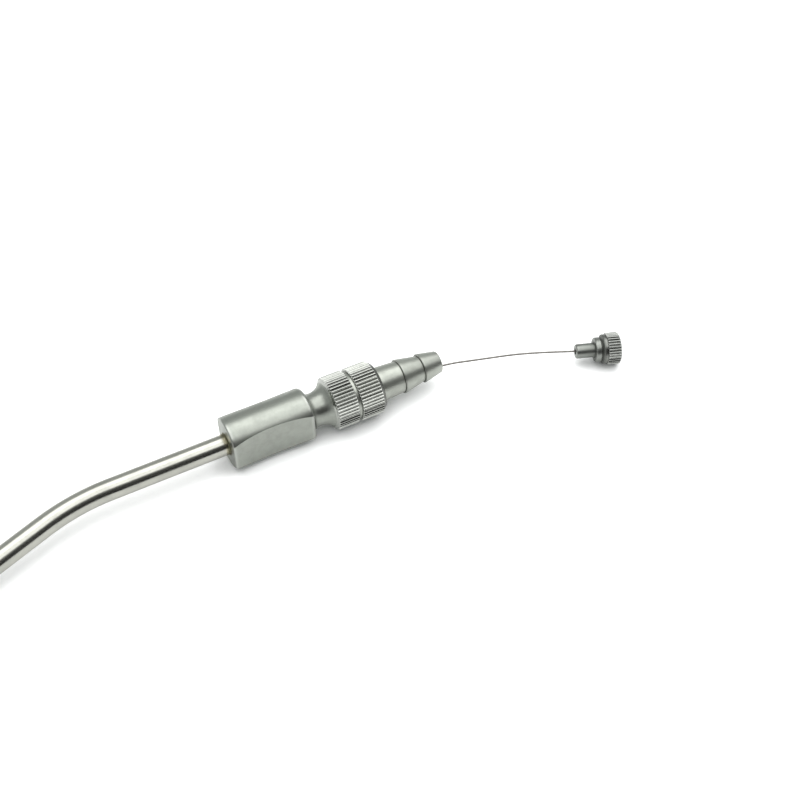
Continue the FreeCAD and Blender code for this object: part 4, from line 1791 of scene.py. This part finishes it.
@dataclass
class Studio:
    """The white table, the soft overhead light, the dark card and the camera."""

    table_height: float = -5.2
    table_size: float = 3000.0
    table_colour: Colour = (0.93, 0.93, 0.93)
    table_roughness: float = 0.7
    table_specular: float = 0.2
    table_lift: float = 0.58
    mirrored_share: float = 0.15
    # Reach, sharpness and samples of the painted contact shadow in the table's glow.
    painted_shadow_reach: float = 4.5
    painted_shadow_power: float = 3.0
    painted_shadow_samples: int = 4
    air_colour: Colour = (0.93, 0.965, 0.955)
    air_strength: float = 0.64
    lamps: tuple[tuple[str, float, float, float], ...] = (
        ("overhead_softbox", 16.0, 40.0, 2.1), ("front_softbox", -20.0, 28.0, 1.55))
    lamp_distance: float = 620.0
    lamp_width: float = 1000.0
    lamp_x: float = 110.0
    card_distance: float = 420.0
    card_height: float = 600.0
    card_width: float = 1500.0
    card_x: float = -40.0
    card_levels: tuple[tuple[float, float], ...] = (
        (0.0, 0.03), (0.35, 0.05), (0.56, 0.10), (0.78, 0.2), (1.0, 0.4))
    camera_place: Point = (-81.549, -137.293, 166.95)
    camera_ahead: Point = (0.3142, 0.5885, -0.7448)
    lens: float = 53.87
    sensor: float = 36.0
    nearest: float = 10.0

    def build(self) -> None:
        """Sets up the table, the lights and the camera."""
        self.set_table()
        self.set_air()
        for name, tilt, spread, radiance in self.lamps:
            self.set_lamp(name, tilt, spread, radiance)
        self.set_card()
        self.set_camera()
        bpy.context.scene.view_settings.view_transform = "Standard"
        log.info("studio is ready")

    def panel(self, name: str, corners: Sequence[Point],
              material: bpy.types.Material) -> bpy.types.Object:
        """A flat four-cornered piece of the studio.

        Args:
            name: Name of the object.
            corners: Its corners in millimetres.
            material: Its material.

        Returns:
            The object.
        """
        mesh = bpy.data.meshes.new(name)
        mesh.from_pydata([tuple(value * MM for value in corner) for corner in corners], [],
                         [(0, 1, 2, 3)])
        mesh.materials.append(material)
        thing = put_in_scene(name, mesh)
        return thing

    def set_table(self) -> None:
        """Lays the white table, which keeps the lamps' shadows and shows white elsewhere; its glow
        fades close to the pieces, which paints a darker contact shadow there.
        """
        material, sheet, output = blank_material("white_table")
        paper = sheet.add("ShaderNodeBsdfPrincipled")
        paper.inputs["Base Color"].default_value = rgba(self.table_colour)
        paper.inputs["Roughness"].default_value = self.table_roughness
        paper.inputs["Specular IOR Level"].default_value = self.table_specular
        rays = sheet.add("ShaderNodeLightPath")
        mirrored = sheet.maths("MULTIPLY", rays.outputs["Is Glossy Ray"], self.mirrored_share)
        seen = sheet.maths("MAXIMUM", rays.outputs["Is Camera Ray"], mirrored)
        seen = sheet.maths("MAXIMUM", seen, rays.outputs["Is Transmission Ray"])
        # Painted contact shadow: the white glow fades where the pieces are close above the table.
        painted_contact_shadow = sheet.add("ShaderNodeAmbientOcclusion", samples=self.painted_shadow_samples)
        painted_contact_shadow.inputs["Distance"].default_value = self.painted_shadow_reach * MM
        open_share = sheet.maths("POWER", painted_contact_shadow.outputs["AO"], self.painted_shadow_power)
        lift = sheet.maths("MULTIPLY", open_share, self.table_lift)
        glow = sheet.add("ShaderNodeEmission")
        glow.inputs["Color"].default_value = rgba(WHITE)
        sheet.wire(sheet.maths("MULTIPLY", seen, lift), glow.inputs["Strength"])
        both = sheet.add("ShaderNodeAddShader")
        sheet.wire(paper.outputs[0], both.inputs[0])
        sheet.wire(glow.outputs[0], both.inputs[1])
        sheet.wire(both.outputs[0], output.inputs[0])
        half, height = self.table_size / 2.0, self.table_height
        self.panel("table", [(-half, -half, height), (half, -half, height),
                             (half, half, height), (-half, half, height)], material)

    def set_air(self) -> None:
        """Fills the room with even pale light."""
        world = bpy.data.worlds.new("pale_room")
        bpy.context.scene.world = world
        world.use_nodes = True
        background = world.node_tree.nodes["Background"]
        background.inputs[0].default_value = rgba(self.air_colour)
        background.inputs[1].default_value = self.air_strength

    def set_lamp(self, name: str, tilt: float, spread: float, radiance: float) -> None:
        """Hangs one soft light over the table.

        Args:
            name: Name of the lamp.
            tilt: How far back from straight above its middle hangs, in degrees.
            spread: How wide it looks from the instrument, front to back, in degrees.
            radiance: How bright its face is.
        """
        data = bpy.data.lights.new(name, "AREA")
        data.shape = "RECTANGLE"
        data.size = self.lamp_width * MM
        data.size_y = 2.0 * math.tan(math.radians(spread / 2.0)) * self.lamp_distance * MM
        data.energy = radiance * math.pi * data.size * data.size_y
        lean = math.radians(tilt)
        up = Vector((0.0, math.sin(lean), math.cos(lean))) * self.lamp_distance
        lamp = put_in_scene(name, data)
        lamp.location = (Vector((self.lamp_x, 0.0, 0.0)) + up) * MM
        lamp.rotation_euler = (-lean, 0.0, 0.0)

    def set_card(self) -> None:
        """Stands the dark card in front, which only shows in the steel."""
        material, sheet, output = blank_material("dark_cloth")
        height = sheet.split(sheet.add("ShaderNodeTexCoord").outputs["Object"])[2]
        front, foot, top = -self.card_distance, self.table_height, self.card_height
        share = sheet.maths("DIVIDE", sheet.maths("SUBTRACT", height, foot * MM),
                            (top - foot) * MM, clamp=True)
        glow = sheet.add("ShaderNodeEmission")
        stops = [(place, (level,) * 3) for place, level in self.card_levels]
        sheet.wire(sheet.ramp(share, stops), glow.inputs["Color"])
        sheet.wire(glow.outputs[0], output.inputs[0])
        left, right = self.card_x - self.card_width / 2.0, self.card_x + self.card_width / 2.0
        card = self.panel("dark_card", [(left, front, foot), (right, front, foot),
                                        (right, front, top), (left, front, top)], material)
        card.visible_camera = False
        card.visible_shadow = False
        card.visible_diffuse = False

    def set_camera(self) -> None:
        """Places the camera where the photograph was taken from."""
        data = bpy.data.cameras.new("camera")
        data.lens = self.lens
        data.sensor_width = self.sensor
        data.clip_start = self.nearest * MM
        camera = put_in_scene("camera", data)
        camera.location = Vector(self.camera_place) * MM
        camera.rotation_euler = Vector(self.camera_ahead).to_track_quat("-Z", "Y").to_euler()
        bpy.context.scene.camera = camera


def main() -> None:
    """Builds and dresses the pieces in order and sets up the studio."""
    logging.basicConfig(level=logging.INFO, format="%(name)s: %(message)s")
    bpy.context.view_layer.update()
    HandleGrip().build(TurnedFinish(
        Slot.SATIN, (0.33, 0.345, 0.312), 0.36, ring_pitch=0.10, ring_depth=0.0006,
        grain_depth=0.0010))
    SuctionTube().build(DrawnFinish(
        Slot.POLISHED, (0.45, 0.448, 0.405), 0.22, tint_from=HANDLE_START,
        tint_reach=1.1, tint_strength=0.5))
    BrazeRing().build(BrazeFinish(Slot.BRAZE, (0.16, 0.16, 0.09), 0.4))
    HoseNozzle().build(TurnedFinish(
        Slot.KNURLED, (0.395, 0.41, 0.37), 0.40, grain_size=0.30, grain_depth=0.0090))
    StyletWire().build(DrawnFinish(Slot.WIRE, (0.25, 0.235, 0.22), 0.36))
    StyletKnob().build(TurnedFinish(
        Slot.KNOB, (0.20, 0.211, 0.193), 0.42, cloud_size=0.8, ring_depth=0.0010))
    Studio().build()


if __name__ == "__main__":
    main()
